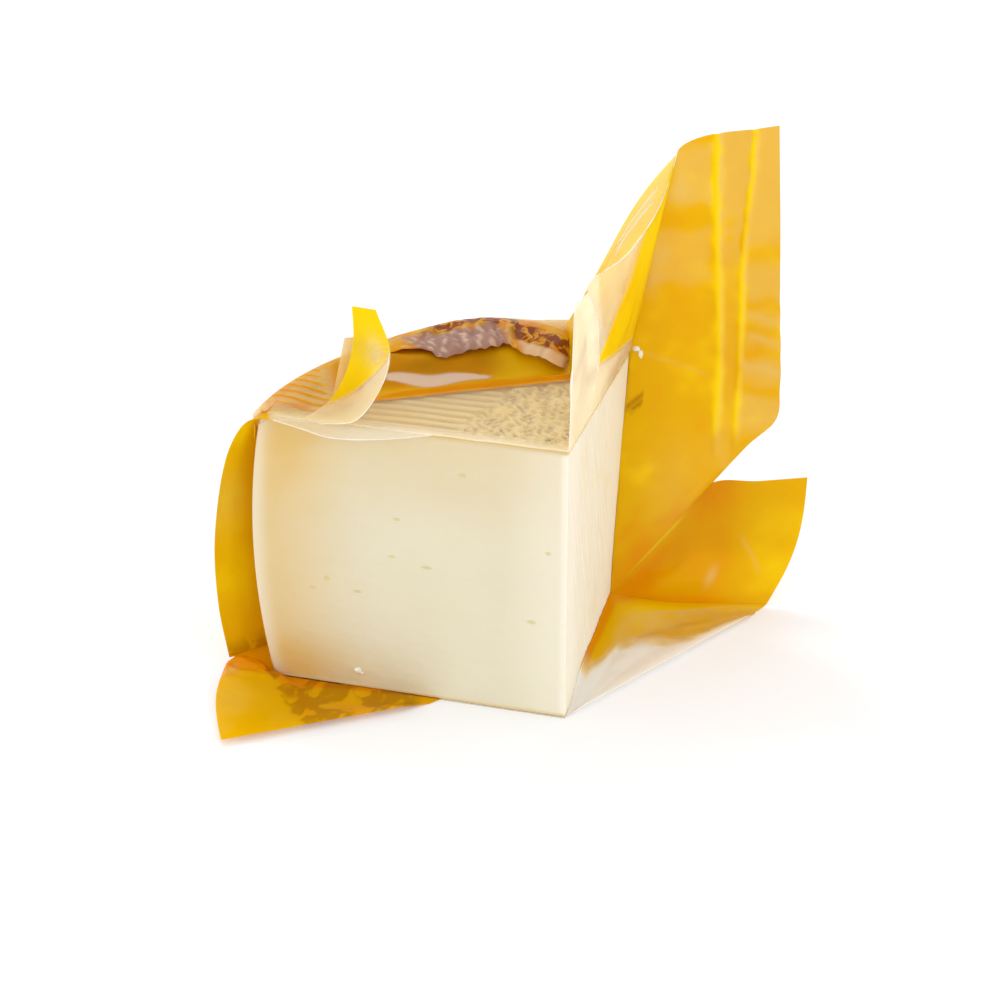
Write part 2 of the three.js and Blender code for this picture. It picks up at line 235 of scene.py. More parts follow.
def apply_modifier(obj: bpy.types.Object, kind: str, **settings: object) -> None:
    """Adds one modifier to an object and applies it.

    Args:
        obj: The object.
        kind: The modifier's type.
        **settings: The modifier's own properties.
    """
    make_active(obj)
    modifier = obj.modifiers.new(kind.title(), kind)
    for key, value in settings.items():
        setattr(modifier, key, value)
    bpy.ops.object.modifier_apply(modifier=modifier.name)


def face_outwards(obj: bpy.types.Object) -> None:
    """Turns every face of a closed mesh outwards."""
    make_active(obj)
    bpy.ops.object.mode_set(mode="EDIT")
    bpy.ops.mesh.select_all(action="SELECT")
    bpy.ops.mesh.normals_make_consistent(inside=False)
    bpy.ops.object.mode_set(mode="OBJECT")


def smooth_shade(obj: bpy.types.Object, degrees: float = 40.0) -> None:
    """Shades an object smoothly, with sharp edges where its faces turn by more than an angle."""
    make_active(obj)
    bpy.ops.object.shade_smooth_by_angle(angle=math.radians(degrees))


def join_pieces(name: str, sheets: list[bpy.types.Object]) -> bpy.types.Object:
    """Joins several meshes into the first one.

    Args:
        name: What the joined object is called.
        sheets: The meshes.

    Returns:
        The joined object.
    """
    make_active(sheets[0])
    for sheet in sheets:
        sheet.select_set(True)
    bpy.ops.object.join()
    whole = bpy.context.view_layer.objects.active
    whole.name = whole.data.name = name
    return whole


def finish_piece(obj: bpy.types.Object, material: bpy.types.Material,
                 node: str | None = None) -> None:
    """Dresses a piece and fastens it to the part.

    Args:
        obj: The finished mesh.
        material: Its material.
        node: The solid it stands for, if any.
    """
    obj.data.materials.clear()
    obj.data.materials.append(material)
    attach(obj, "root")
    if node is not None:
        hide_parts(node)
    LOG.info("%s: %d faces", obj.name, len(obj.data.polygons))


# ---- Sizes ----


@dataclass(frozen=True)
class WedgeSize:
    """The cheese's sizes in millimetres."""

    bottom: float = 0.3
    top: float = 71.4
    barrel_radius: float = 78.8
    barrel_height: float = 38.0
    barrel_drop: float = 3.6
    barrel_span: float = 35.0
    top_rounding: float = 4.0
    bottom_rounding: float = 3.0
    edge_rounding: float = 0.45
    ridge_pitch: float = 3.35
    groove_depth: float = 0.65
    rosette_reach: float = 26.0
    rosette_pitch: float = 3.6

    def radius(self, height: Array | float) -> Array | float:
        """The barrel's radius at a height."""
        part = (height - self.barrel_height) / self.barrel_span
        return self.barrel_radius - self.barrel_drop * part * part

    def rim(self, offset: float, barrel_steps: int, corner_steps: int) -> Array:
        """The rim's outline from the bottom to the top, grown by an offset.

        Args:
            offset: How far outside the cheese the outline runs.
            barrel_steps: Steps along the barrel.
            corner_steps: Steps round each rounded edge.

        Returns:
            One row of radius and height for each point.
        """
        low, high = self.bottom - offset, self.top + offset
        low_corner, high_corner = self.bottom_rounding + offset, self.top_rounding + offset
        low_radius = self.radius(low + low_corner) + offset
        high_radius = self.radius(high - high_corner) + offset
        turn = np.linspace(0, math.pi / 2, corner_steps + 1)
        heights = np.linspace(low + low_corner, high - high_corner, barrel_steps + 1)
        below = np.column_stack([
            low_radius - low_corner * (1 - np.sin(turn[:-1])),
            low + low_corner * (1 - np.cos(turn[:-1]))])
        barrel = np.column_stack([self.radius(heights) + offset, heights])
        above = np.column_stack([
            high_radius - high_corner * (1 - np.cos(turn[1:])),
            high - high_corner * (1 - np.sin(turn[1:]))])
        return np.vstack([below, barrel, above])


@dataclass(frozen=True)
class FilmSize:
    """The film's sizes in millimetres."""

    thickness: float = 0.2
    ground: float = 0.15  # middle of the film that lies on the ground
    top: float = 72.0  # middle of the film that lies on the cheese
    side: float = 0.3  # x of film on the right cut face
    rim_gap: float = 0.6  # how far film round the rim stands off it
    heel: Spot = (-0.1, 45.0, 11.0)  # where the sail, the flap and the floor film leave the cheese
    sail_corner: Spot = (20.7, 68.0, 34.0)  # where the sail's free edge meets the flap's
    hump_rise: float = 5.2
    wall_height: float = 34.0
    sail_top: float = 131.4
    sail_reach: float = 37.0
    flap_reach: float = 44.0
    flap_start: float = 9.0  # degrees round the rim
    curl: float = 1.6  # how far free edges stand off the ground


WEDGE = WedgeSize()
FILM = FilmSize()
CURL_LEAN = np.array([0.3, -1.0, 1.0])  # which way a free edge on the ground curls


def quarter_disc(u: Array, v: Array, radius: float) -> tuple[Array, Array]:
    """Maps a square onto a quarter disc without a pole.

    Args:
        u: From 0 to 1 along the front cut.
        v: From 0 to 1 along the right cut.
        radius: The disc's radius.

    Returns:
        The x and y of each point.
    """
    return -radius * u * np.sqrt(1 - v * v / 2), radius * v * np.sqrt(1 - u * u / 2)


def hump_line(x: Array, y: Array) -> tuple[Array, Array, float]:
    """Places points along and behind the line where the loose film rises.

    Args:
        x: The points' x.
        y: The points' y.

    Returns:
        The distance along the line, the distance behind it, and the line's length.
    """
    start, end = np.array([-50.0, 16.0]), np.array([-9.0, 40.0])
    length = float(np.hypot(*(end - start)))
    along = (end - start) / length
    distance = (x - start[0]) * along[0] + (y - start[1]) * along[1]
    behind = (y - start[1]) * along[0] - (x - start[0]) * along[1]
    return distance, behind, length


def press_ridges(x: Array, y: Array) -> Array:
    """How deep the press cloth's pattern goes into the top.

    Args:
        x: The points' x.
        y: The points' y.

    Returns:
        From 0 on a ridge to 1 in a groove, for each point.
    """
    drift = 0.35 * np.sin(x / 11.0 + 0.5) + 0.2 * np.sin(x / 4.7 + y / 9.0)
    phase = (y + drift) / WEDGE.ridge_pitch - 0.6
    ridges = (0.5 + 0.5 * np.cos(2 * math.pi * phase)) ** 1.4
    ridges = ridges * (0.8 + 0.2 * ripple(x, y, 3.1, 17.0))
    lean = math.pi / WEDGE.rosette_pitch
    across = x + 1.1 * np.sin(0.9 * y + 1.3 * np.sin(0.35 * x))
    along = y + 1.1 * np.sin(0.8 * x + 1.0)
    cross = np.abs(np.sin(lean * (across + 0.75 * along)) * np.sin(lean * (across - 0.85 * along)))
    rosette = np.clip(1.25 * cross ** 1.5 + 0.25 * ripple(x, y, 5.3, 4.0), 0.0, 1.0)
    border = WEDGE.rosette_reach + 2.5 * np.sin(y / 5.0)
    inside = smooth(x, -border - 2.0, -border + 3.0) * fall(y, 48.0, 54.0)
    return ridges * (1 - inside) + rosette * inside


# ---- Shader nodes ----


class Wiring:
    """Adds shader nodes to one tree and links them."""

    def __init__(self, tree: bpy.types.NodeTree) -> None:
        """Keeps the tree that the nodes go into."""
        self.tree = tree
        self.place = 0

    def add(self, kind: str, inputs: dict[str | int, object] | None = None,
            **settings: object) -> bpy.types.Node:
        """Adds one node.

        Args:
            kind: The node's type.
            inputs: A number, a colour or another node's socket for each named or numbered input.
            **settings: The node's own properties.

        Returns:
            The node.
        """
        node = self.tree.nodes.new(kind)
        node.location = (self.place % 8 * 200, -(self.place // 8) * 240)
        self.place += 1
        for key, value in settings.items():
            setattr(node, key, value)
        for key, value in (inputs or {}).items():
            if isinstance(value, bpy.types.NodeSocket):
                self.tree.links.new(value, node.inputs[key])
            else:
                node.inputs[key].default_value = value
        return node

    def mark(self, mark: Mark) -> bpy.types.NodeSocket:
        """Reads one of the piece's vertex values."""
        return self.add("ShaderNodeAttribute", attribute_name=mark.value).outputs["Fac"]

    def math(self, operation: str, first: object, second: object = 0.0,
             clamp: bool = False) -> bpy.types.NodeSocket:
        """One sum on two numbers or sockets."""
        node = self.add("ShaderNodeMath", {0: first, 1: second}, operation=operation, use_clamp=clamp)
        return node.outputs[0]

    def blend(self, part: object, first: object, second: object) -> bpy.types.NodeSocket:
        """Blends two colours.

        Args:
            part: How much of the second colour, as a number or a socket.
            first: A colour or a socket.
            second: A colour or a socket.

        Returns:
            The blended colour.
        """
        node = self.add("ShaderNodeMix", data_type="RGBA", blend_type="MIX")
        for key, value in ((0, part), (6, first), (7, second)):
            if isinstance(value, bpy.types.NodeSocket):
                self.tree.links.new(value, node.inputs[key])
            elif isinstance(value, tuple):
                node.inputs[key].default_value = (*value, 1.0)
            else:
                node.inputs[key].default_value = value
        return node.outputs[2]

    def ramp(self, value: bpy.types.NodeSocket, low: float, high: float,
             start: float = 0.0, end: float = 1.0) -> bpy.types.NodeSocket:
        """Maps the values from low to high smoothly onto those from start to end."""
        node = self.add("ShaderNodeMapRange", {"Value": value, "From Min": low, "From Max": high,
                                               "To Min": start, "To Max": end},
                        interpolation_type="SMOOTHSTEP")
        return node.outputs["Result"]

    def effect(self, group: bpy.types.NodeTree,
               values: dict[str, float] | None = None) -> bpy.types.Node:
        """Places a node group on the object's own coordinates.

        Args:
            group: The node group.
            values: Its other inputs, by name.

        Returns:
            The group's node.
        """
        inputs = {"Vector": self.place_on_object(), **(values or {})}
        return self.add("ShaderNodeGroup", inputs, node_tree=group)

    def place_on_object(self, scale: Spot = (1.0, 1.0, 1.0),
                        turn: Spot = (0.0, 0.0, 0.0)) -> bpy.types.NodeSocket:
        """The object's own coordinates, turned and scaled."""
        coordinates = self.add("ShaderNodeTexCoord").outputs["Object"]
        return self.add("ShaderNodeMapping", {"Vector": coordinates, "Scale": scale,
                                              "Rotation": turn}).outputs["Vector"]


class Term:
    """A varying number in a shader that sums like a plain number."""

    def __init__(self, wiring: Wiring, socket: bpy.types.NodeSocket) -> None:
        """Keeps the socket that carries the number."""
        self.wiring = wiring
        self.socket = socket

    def do(self, operation: str, other: "Term | float" = 0.0) -> "Term":
        """One sum of this number and another."""
        value = other.socket if isinstance(other, Term) else float(other)
        return Term(self.wiring, self.wiring.math(operation, self.socket, value))

    def __add__(self, other: "Term | float") -> "Term":
        """The sum of two numbers."""
        return self.do("ADD", other)

    def __sub__(self, other: "Term | float") -> "Term":
        """The difference of two numbers."""
        return self.do("SUBTRACT", other)

    def __mul__(self, other: "Term | float") -> "Term":
        """The product of two numbers."""
        return self.do("MULTIPLY", other)

    def inverse(self) -> "Term":
        """One less this number."""
        return self * -1.0 + 1.0

    def rise(self, low: float, high: float) -> "Term":
        """Rises smoothly from 0 at low to 1 at high."""
        return Term(self.wiring, self.wiring.ramp(self.socket, low, high))


def new_material(name: str) -> tuple[bpy.types.Material, Wiring]:
    """Makes an empty material.

    Args:
        name: The material's name.

    Returns:
        The material and the wiring of its nodes.
    """
    material = bpy.data.materials.new(name)
    material.use_nodes = True
    material.node_tree.nodes.clear()
    return material, Wiring(material.node_tree)


def new_group(name: str, inputs: dict[str, tuple[str, float]], outputs: list[str]) -> tuple[
        bpy.types.NodeTree, Wiring, bpy.types.Node, bpy.types.Node]:
    """Makes an empty shader node group.

    Args:
        name: The group's name.
        inputs: A socket type and first value for each input's name.
        outputs: The names of its number outputs.

    Returns:
        The group, its wiring, and its input and output nodes.
    """
    tree = bpy.data.node_groups.new(name, "ShaderNodeTree")
    for key, (kind, value) in inputs.items():
        socket = tree.interface.new_socket(key, in_out="INPUT", socket_type=kind)
        if kind == "NodeSocketFloat":
            socket.default_value = value
    for key in outputs:
        tree.interface.new_socket(key, in_out="OUTPUT", socket_type="NodeSocketFloat")
    wiring = Wiring(tree)
    return tree, wiring, wiring.add("NodeGroupInput"), wiring.add("NodeGroupOutput")


def mottle_group() -> bpy.types.NodeTree:
    """Uneven patches of two sizes, for colour and gloss.

    Returns:
        A group with the outputs Patches and Grain.
    """
    tree, wiring, source, sink = new_group(
        "mottle", {"Vector": ("NodeSocketVector", 0.0), "Patch Scale": ("NodeSocketFloat", 60.0),
                   "Grain Scale": ("NodeSocketFloat", 900.0)}, ["Patches", "Grain"])
    for scale, detail, name in (("Patch Scale", 3.0, "Patches"), ("Grain Scale", 5.0, "Grain")):
        noise = wiring.add("ShaderNodeTexNoise", {
            "Vector": source.outputs["Vector"], "Scale": source.outputs[scale], "Detail": detail,
            "Roughness": 0.55})
        tree.links.new(wiring.ramp(noise.outputs["Fac"], 0.3, 0.7), sink.inputs[name])
    return tree


def crimp_group() -> bpy.types.NodeTree:
    """The fine crossed ribs that a hot sealing bar leaves in film.

    Returns:
        A group with the output Height.
    """
    tree, wiring, source, sink = new_group(
        "crimp", {"Vector": ("NodeSocketVector", 0.0), "Ribs": ("NodeSocketFloat", 900.0)}, ["Height"])
    spots = wiring.add("ShaderNodeSeparateXYZ", {0: source.outputs["Vector"]})
    waves = []
    for sign in ("ADD", "SUBTRACT"):
        across = wiring.math(sign, spots.outputs["X"], spots.outputs["Z"])
        across = wiring.math("ADD", across, spots.outputs["Y"])
        turns = wiring.math("MULTIPLY", across, source.outputs["Ribs"])
        waves.append(wiring.math("ABSOLUTE", wiring.math("SINE", turns)))
    tree.links.new(wiring.math("MULTIPLY", *waves), sink.inputs["Height"])
    return tree


def press_group() -> bpy.types.NodeTree:
    """The lines of the press cloth, which turn into small crossed dents near the tip.

    Returns:
        A group with the outputs Groove and Dents.
    """
    tree, wiring, source, sink = new_group(
        "press_lines", {"Vector": ("NodeSocketVector", 0.0)}, ["Groove", "Dents"])
    spots = wiring.add("ShaderNodeSeparateXYZ", {0: source.outputs["Vector"]})
    x = Term(wiring, spots.outputs["X"]) * (1 / MM) - TIP_PLACE[0]
    y = Term(wiring, spots.outputs["Y"]) * (1 / MM) - TIP_PLACE[1]
    drift = (x * (1 / 11) + 0.5).do("SINE") * 0.35 + (x * (1 / 4.7) + y * (1 / 9)).do("SINE") * 0.2
    turns = ((y + drift) * (1 / WEDGE.ridge_pitch) - 0.6) * (2 * math.pi)
    ridges = (turns.do("COSINE") * 0.5 + 0.5).do("POWER", 1.4)
    lean = math.pi / WEDGE.rosette_pitch
    across = x + (y * 0.9 + (x * 0.35).do("SINE") * 1.3).do("SINE") * 1.1
    along = y + (x * 0.8 + 1.0).do("SINE") * 1.1
    first = ((across + along * 0.75) * lean).do("SINE").do("ABSOLUTE")
    second = ((across - along * 0.85) * lean).do("SINE").do("ABSOLUTE")
    crossed = (first * second).do("POWER", 1.5) * 1.25
    inside = (x + (y * 0.2).do("SINE") * 2.5 + WEDGE.rosette_reach).rise(-2.0, 3.0) * y.rise(54.0, 48.0)
    tree.links.new((ridges * inside.inverse() + crossed * inside).socket, sink.inputs["Groove"])
    tree.links.new(inside.socket, sink.inputs["Dents"])
    return tree


# ---- Finishes ----


@dataclass(frozen=True)
class CheeseFinish:
    """Pressed goat cheese: a smooth ivory cut, a golden rind in the grooves."""

    cut: Colour = (0.74, 0.68, 0.495)
    tan_and_shade: Colour = (0.71, 0.48, 0.15)
    pale: Colour = (0.90, 0.84, 0.69)
    streak: Colour = (0.82, 0.66, 0.30)
    rind: Colour = (0.70, 0.51, 0.21)
    groove: Colour = (0.40, 0.26, 0.10)
    speck: Colour = (0.13, 0.10, 0.12)
    eye: Colour = (0.66, 0.57, 0.24)
    roughness: float = 0.52
    # Small eyes in the front cut face: x, z, half width and half height in millimetres.
    eyes: tuple[tuple[float, float, float, float], ...] = (
        (-25.5, 62.0, 1.1, 0.5), (-42.0, 48.1, 1.0, 0.45), (-34.7, 36.2, 1.5, 0.5),
        (-43.4, 37.9, 1.0, 0.35), (-60.2, 29.4, 0.8, 0.8), (-63.9, 26.4, 1.0, 0.5),
        (-52.3, 27.0, 1.2, 0.5), (-8.6, 25.2, 1.3, 0.6), (-4.6, 44.4, 0.8, 0.5))

    def eye_mask(self, wiring: Wiring) -> bpy.types.NodeSocket:
        """Finds the eyes of the front cut face.

        Args:
            wiring: The material's wiring.

        Returns:
            One inside the eyes and 0 outside.
        """
        spots = wiring.place_on_object()
        total: bpy.types.NodeSocket | float = 0.0
        for x, z, wide, high in self.eyes:
            centre = (np.array([x, 0.0, z]) + TIP_PLACE) * MM
            away = wiring.add("ShaderNodeVectorMath", {0: spots, 1: tuple(centre)}, operation="SUBTRACT")
            shape = wiring.add("ShaderNodeVectorMath", {
                0: away.outputs[0], 1: (1 / (wide * MM), 1 / (2 * MM), 1 / (high * MM))},
                               operation="MULTIPLY")
            length = wiring.add("ShaderNodeVectorMath", {0: shape.outputs[0]}, operation="LENGTH")
            inside = wiring.ramp(length.outputs["Value"], 1.25, 0.45)
            total = wiring.math("MAXIMUM", inside, total)
        return total

    def cut_face(self, wiring: Wiring, uneven: bpy.types.NodeSocket,
                 eyes: bpy.types.NodeSocket) -> bpy.types.NodeSocket:
        """Colours the cut faces.

        Args:
            wiring: The material's wiring.
            uneven: Uneven patches.
            eyes: Where the eyes are.

        Returns:
            The colour of a cut face.
        """
        # Tan where shade and the yellow film's warm reflection are painted.
        colour = wiring.blend(wiring.mark(Mark.TAN), self.cut, self.tan_and_shade)
        # Paler where highlights and light are painted, and on the crumbs.
        colour = wiring.blend(wiring.mark(Mark.PALE), colour, self.pale)
        colour = wiring.blend(wiring.math("MULTIPLY", uneven, 0.12), colour, self.pale)
        drag = wiring.add("ShaderNodeTexNoise", {
            "Vector": wiring.place_on_object((1.0, 1.0, 0.3), (0.55, 0.0, 0.0)), "Scale": 330.0,
            "Detail": 3.0, "Distortion": 1.2})
        streaks = wiring.ramp(drag.outputs["Fac"], 0.5, 0.66)
        streaks = wiring.math("MULTIPLY", streaks, wiring.mark(Mark.DRAG))
        colour = wiring.blend(wiring.math("MULTIPLY", streaks, 0.3), colour, self.streak)
        return wiring.blend(wiring.math("MULTIPLY", eyes, 0.75), colour, self.eye)

    def skin(self, wiring: Wiring, uneven: bpy.types.NodeSocket,
             press: bpy.types.NodeTree) -> bpy.types.NodeSocket:
        """Colours the pressed outside.

        Args:
            wiring: The material's wiring.
            uneven: Uneven patches.
            press: The group of the press cloth's lines.

        Returns:
            The colour of the rind.
        """
        lines = wiring.effect(press)
        groove = wiring.math("MULTIPLY", lines.outputs["Groove"], wiring.mark(Mark.GROOVE))
        colour = wiring.blend(wiring.math("MULTIPLY", uneven, 0.2), self.rind, self.cut)
        # Painted shade on the top in front of the hump, in the grooves' colour.
        colour = wiring.blend(wiring.mark(Mark.TAN), colour, self.groove)
        softer = Term(wiring, lines.outputs["Dents"]) * -0.35 + 1.0
        colour = wiring.blend((Term(wiring, groove) * softer).socket, colour, self.groove)
        specks = wiring.add("ShaderNodeTexNoise", {
            "Vector": wiring.place_on_object((1.0, 1.6, 1.0), (0.0, 0.0, 0.6)), "Scale": 620.0,
            "Detail": 2.0})
        specks = wiring.math("MULTIPLY", wiring.ramp(specks.outputs["Fac"], 0.56, 0.62), groove)
        return wiring.blend(wiring.math("MULTIPLY", specks, lines.outputs["Dents"]), colour, self.speck)

    def build(self, mottle: bpy.types.NodeTree, press: bpy.types.NodeTree) -> bpy.types.Material:
        """The material.

        Args:
            mottle: The group of uneven patches.
            press: The group of the press cloth's lines.

        Returns:
            The cheese's material.
        """
        material, wiring = new_material("pressed_cheese")
        patches = wiring.effect(mottle, {"Patch Scale": 45.0, "Grain Scale": 1400.0})
        uneven, grain = patches.outputs["Patches"], patches.outputs["Grain"]
        eyes = self.eye_mask(wiring)
        colour = wiring.blend(wiring.mark(Mark.RIND), self.cut_face(wiring, uneven, eyes),
                              self.skin(wiring, uneven, press))
        height = wiring.math("ADD", wiring.math("MULTIPLY", grain, 0.25), wiring.math("MULTIPLY", eyes, -2.0))
        bump = wiring.add("ShaderNodeBump", {"Height": height, "Strength": 0.35, "Distance": 0.00018})
        gloss = wiring.ramp(grain, 0.0, 1.0, self.roughness - 0.07, self.roughness + 0.07)
        shader = wiring.add("ShaderNodeBsdfPrincipled", {
            "Base Color": colour, "Roughness": gloss, "Normal": bump.outputs[0],
            "Subsurface Weight": 0.25, "Subsurface Radius": (1.0, 0.7, 0.35), "Subsurface Scale": 0.002,
            "Specular IOR Level": 0.4})
        wiring.add("ShaderNodeOutputMaterial", {"Surface": shader.outputs[0]})
        return material


@dataclass(frozen=True)
class FilmFinish:
    """Glossy film, printed yellow from behind and clear towards the wedge's tip."""

    yellow: Colour = (0.89, 0.575, 0.0)
    deep: Colour = (0.88, 0.39, 0.0)
    bright: Colour = (1.0, 0.80, 0.003)
    milky: Colour = (1.0, 0.975, 0.93)
    cream: Colour = (0.97, 0.84, 0.50)
    painted_shade: Colour = (0.46, 0.21, 0.0)
    haze_and_sheen_on_ink: Colour = (0.88, 0.65, 0.19)
    brown: Colour = (0.29, 0.02, 0.0)
    plum: Colour = (0.48, 0.29, 0.30)
    shine: Colour = (0.95, 0.78, 0.64)
    ink_cover: float = 0.95  # of one face of the film
    crest_highlight: float = 0.04  # painted highlight where the film lies on the ridges of the top
    roughness: float = 0.2
    glow: float = 0.45  # share of the light that goes through the print

    def pattern(self, wiring: Wiring, colour: bpy.types.NodeSocket) -> bpy.types.NodeSocket:
        """Prints loose brown petals where the pattern's mark stands.

        Args:
            wiring: The material's wiring.
            colour: The colour under the strokes.

        Returns:
            The colour with the strokes.
        """
        lie = wiring.place_on_object((1.0, 0.55, 1.0), (0.0, 0.0, 0.5))
        petals = wiring.add("ShaderNodeTexNoise", {
            "Vector": lie, "Scale": 150.0, "Detail": 2.5, "Distortion": 1.3})
        mark = Term(wiring, wiring.mark(Mark.MOTIF))
        crumpled = mark.rise(0.55, 0.8)
        creases = wiring.add("ShaderNodeTexNoise", {
            "Vector": wiring.place_on_object((1.0, 0.5, 0.5), (0.0, 0.0, 0.4)), "Scale": 430.0,
            "Detail": 3.0, "Distortion": 0.8})
        streaks = Term(wiring, wiring.ramp(creases.outputs["Fac"], 0.4, 0.52)) * crumpled
        cover = Term(wiring, wiring.ramp(petals.outputs["Fac"], 0.43, 0.53)) * mark * crumpled.inverse()
        return wiring.blend((cover + streaks * 0.9).socket, colour, self.brown)

    def print_colour(self, wiring: Wiring, warm_and_shade: bpy.types.NodeSocket,
                     haze_and_sheen: bpy.types.NodeSocket) -> bpy.types.NodeSocket:
        """Colours the print.

        Args:
            wiring: The material's wiring.
            warm_and_shade: How deep the yellow goes towards orange, with its painted shade.
            haze_and_sheen: How pale the print is, and where highlights are painted on it.

        Returns:
            The print's colour.
        """
        colour = wiring.blend(wiring.ramp(warm_and_shade, 0.0, 0.5), self.bright, self.yellow)
        colour = wiring.blend(wiring.ramp(warm_and_shade, 0.5, 1.0), colour, self.deep)
        colour = wiring.blend(wiring.mark(Mark.DOUBLE), colour, self.painted_shade)
        colour = wiring.blend(haze_and_sheen, colour, self.haze_and_sheen_on_ink)
        # Greyish purple print, and a pinkish painted glare where highlights are painted over it.
        purple = wiring.blend(haze_and_sheen, self.plum, self.shine)
        colour = wiring.blend(wiring.mark(Mark.PLUM), colour, purple)
        return self.pattern(wiring, colour)

    def build(self, mottle: bpy.types.NodeTree, crimp: bpy.types.NodeTree,
              press: bpy.types.NodeTree) -> bpy.types.Material:
        """The material.

        Args:
            mottle: The group of uneven patches.
            crimp: The group of sealing ribs.
            press: The group of the press cloth's lines.

        Returns:
            The film's material.
        """
        material, wiring = new_material("printed_film")
        patches = wiring.effect(mottle, {"Patch Scale": 70.0, "Grain Scale": 1100.0})
        uneven, grain = patches.outputs["Patches"], patches.outputs["Grain"]
        groove = Term(wiring, wiring.effect(press).outputs["Groove"])
        pressed_on = Term(wiring, wiring.mark(Mark.PRESS))
        ink = Term(wiring, wiring.mark(Mark.INK))
        ink = (ink + ink * groove * pressed_on * 0.9).do("MINIMUM", 1.0).socket
        # Painted highlight on the ridges where the film is pressed on.
        crest = (groove.inverse() * pressed_on * self.crest_highlight).socket
        ribs = wiring.effect(crimp, {"Ribs": 3600.0})
        pressed = wiring.math("MULTIPLY", ribs.outputs["Height"], wiring.mark(Mark.CRIMP))
        haze_and_sheen = wiring.math("MAXIMUM", wiring.mark(Mark.HAZE), crest)
        # The sealing ribs are painted pale, as their highlights.
        haze_and_sheen = wiring.math("MAXIMUM", haze_and_sheen, wiring.math("MULTIPLY", pressed, 0.55))
        warm_and_shade = wiring.math("MAXIMUM", wiring.mark(Mark.WARM), (groove * pressed_on).socket)
        warm_and_shade = (Term(wiring, uneven) * 0.16 - 0.08 + Term(wiring, warm_and_shade)).socket
        clear = wiring.blend(wiring.mark(Mark.WARM), self.milky, self.cream)
        colour = wiring.blend(ink, clear, self.print_colour(wiring, warm_and_shade, haze_and_sheen))
        height = wiring.math("ADD", pressed, wiring.math("MULTIPLY", uneven, 0.25))
        bump = wiring.add("ShaderNodeBump", {"Height": height, "Strength": 0.5, "Distance": 0.00025})
        gloss = wiring.ramp(grain, 0.0, 1.0, self.roughness - 0.05, self.roughness + 0.06)
        cover = wiring.math("MAXIMUM", wiring.math("MULTIPLY", ink, self.ink_cover), haze_and_sheen)
        rim_light = wiring.add("ShaderNodeFresnel", {"IOR": 1.45}).outputs[0]
        cover = wiring.math("ADD", cover, wiring.math("MULTIPLY", rim_light, 0.3), clamp=True)
        front = wiring.add("ShaderNodeBsdfPrincipled", {
            "Base Color": colour, "Roughness": gloss, "Normal": bump.outputs[0],
            "Specular IOR Level": 0.10})
        through = wiring.add("ShaderNodeBsdfTranslucent", {"Color": colour})
        body = wiring.add("ShaderNodeMixShader", {0: self.glow, 1: front.outputs[0], 2: through.outputs[0]})
        open_film = wiring.add("ShaderNodeBsdfTransparent", {"Color": (0.99, 0.985, 0.96, 1.0)})
        film = wiring.add("ShaderNodeMixShader", {0: cover, 1: open_film.outputs[0], 2: body.outputs[0]})
        wiring.add("ShaderNodeOutputMaterial", {"Surface": film.outputs[0]})
        return material


@dataclass(frozen=True)
class EdgeFinish:
    """The cut edges and sharp creases of the film, painted white as the highlight that runs along them."""

    white: Colour = (1.0, 0.98, 0.94)
    cream: Colour = (1.0, 0.93, 0.78)

    def build(self, mottle: bpy.types.NodeTree) -> bpy.types.Material:
        """The material.

        Args:
            mottle: The group of uneven patches.

        Returns:
            The material of the film's edges.
        """
        material, wiring = new_material("film_edge")
        patches = wiring.effect(mottle, {"Patch Scale": 160.0})
        colour = wiring.blend(patches.outputs["Patches"], self.white, self.cream)
        shader = wiring.add("ShaderNodeBsdfPrincipled", {"Base Color": colour, "Roughness": 0.3})
        clear = wiring.add("ShaderNodeBsdfTransparent")
        cover = wiring.ramp(patches.outputs["Patches"], 0.0, 1.0, 0.95, 0.7)
        mixed = wiring.add("ShaderNodeMixShader", {0: cover, 1: clear.outputs[0], 2: shader.outputs[0]})
        wiring.add("ShaderNodeOutputMaterial", {"Surface": mixed.outputs[0]})
        return material


# ---- The cheese ----


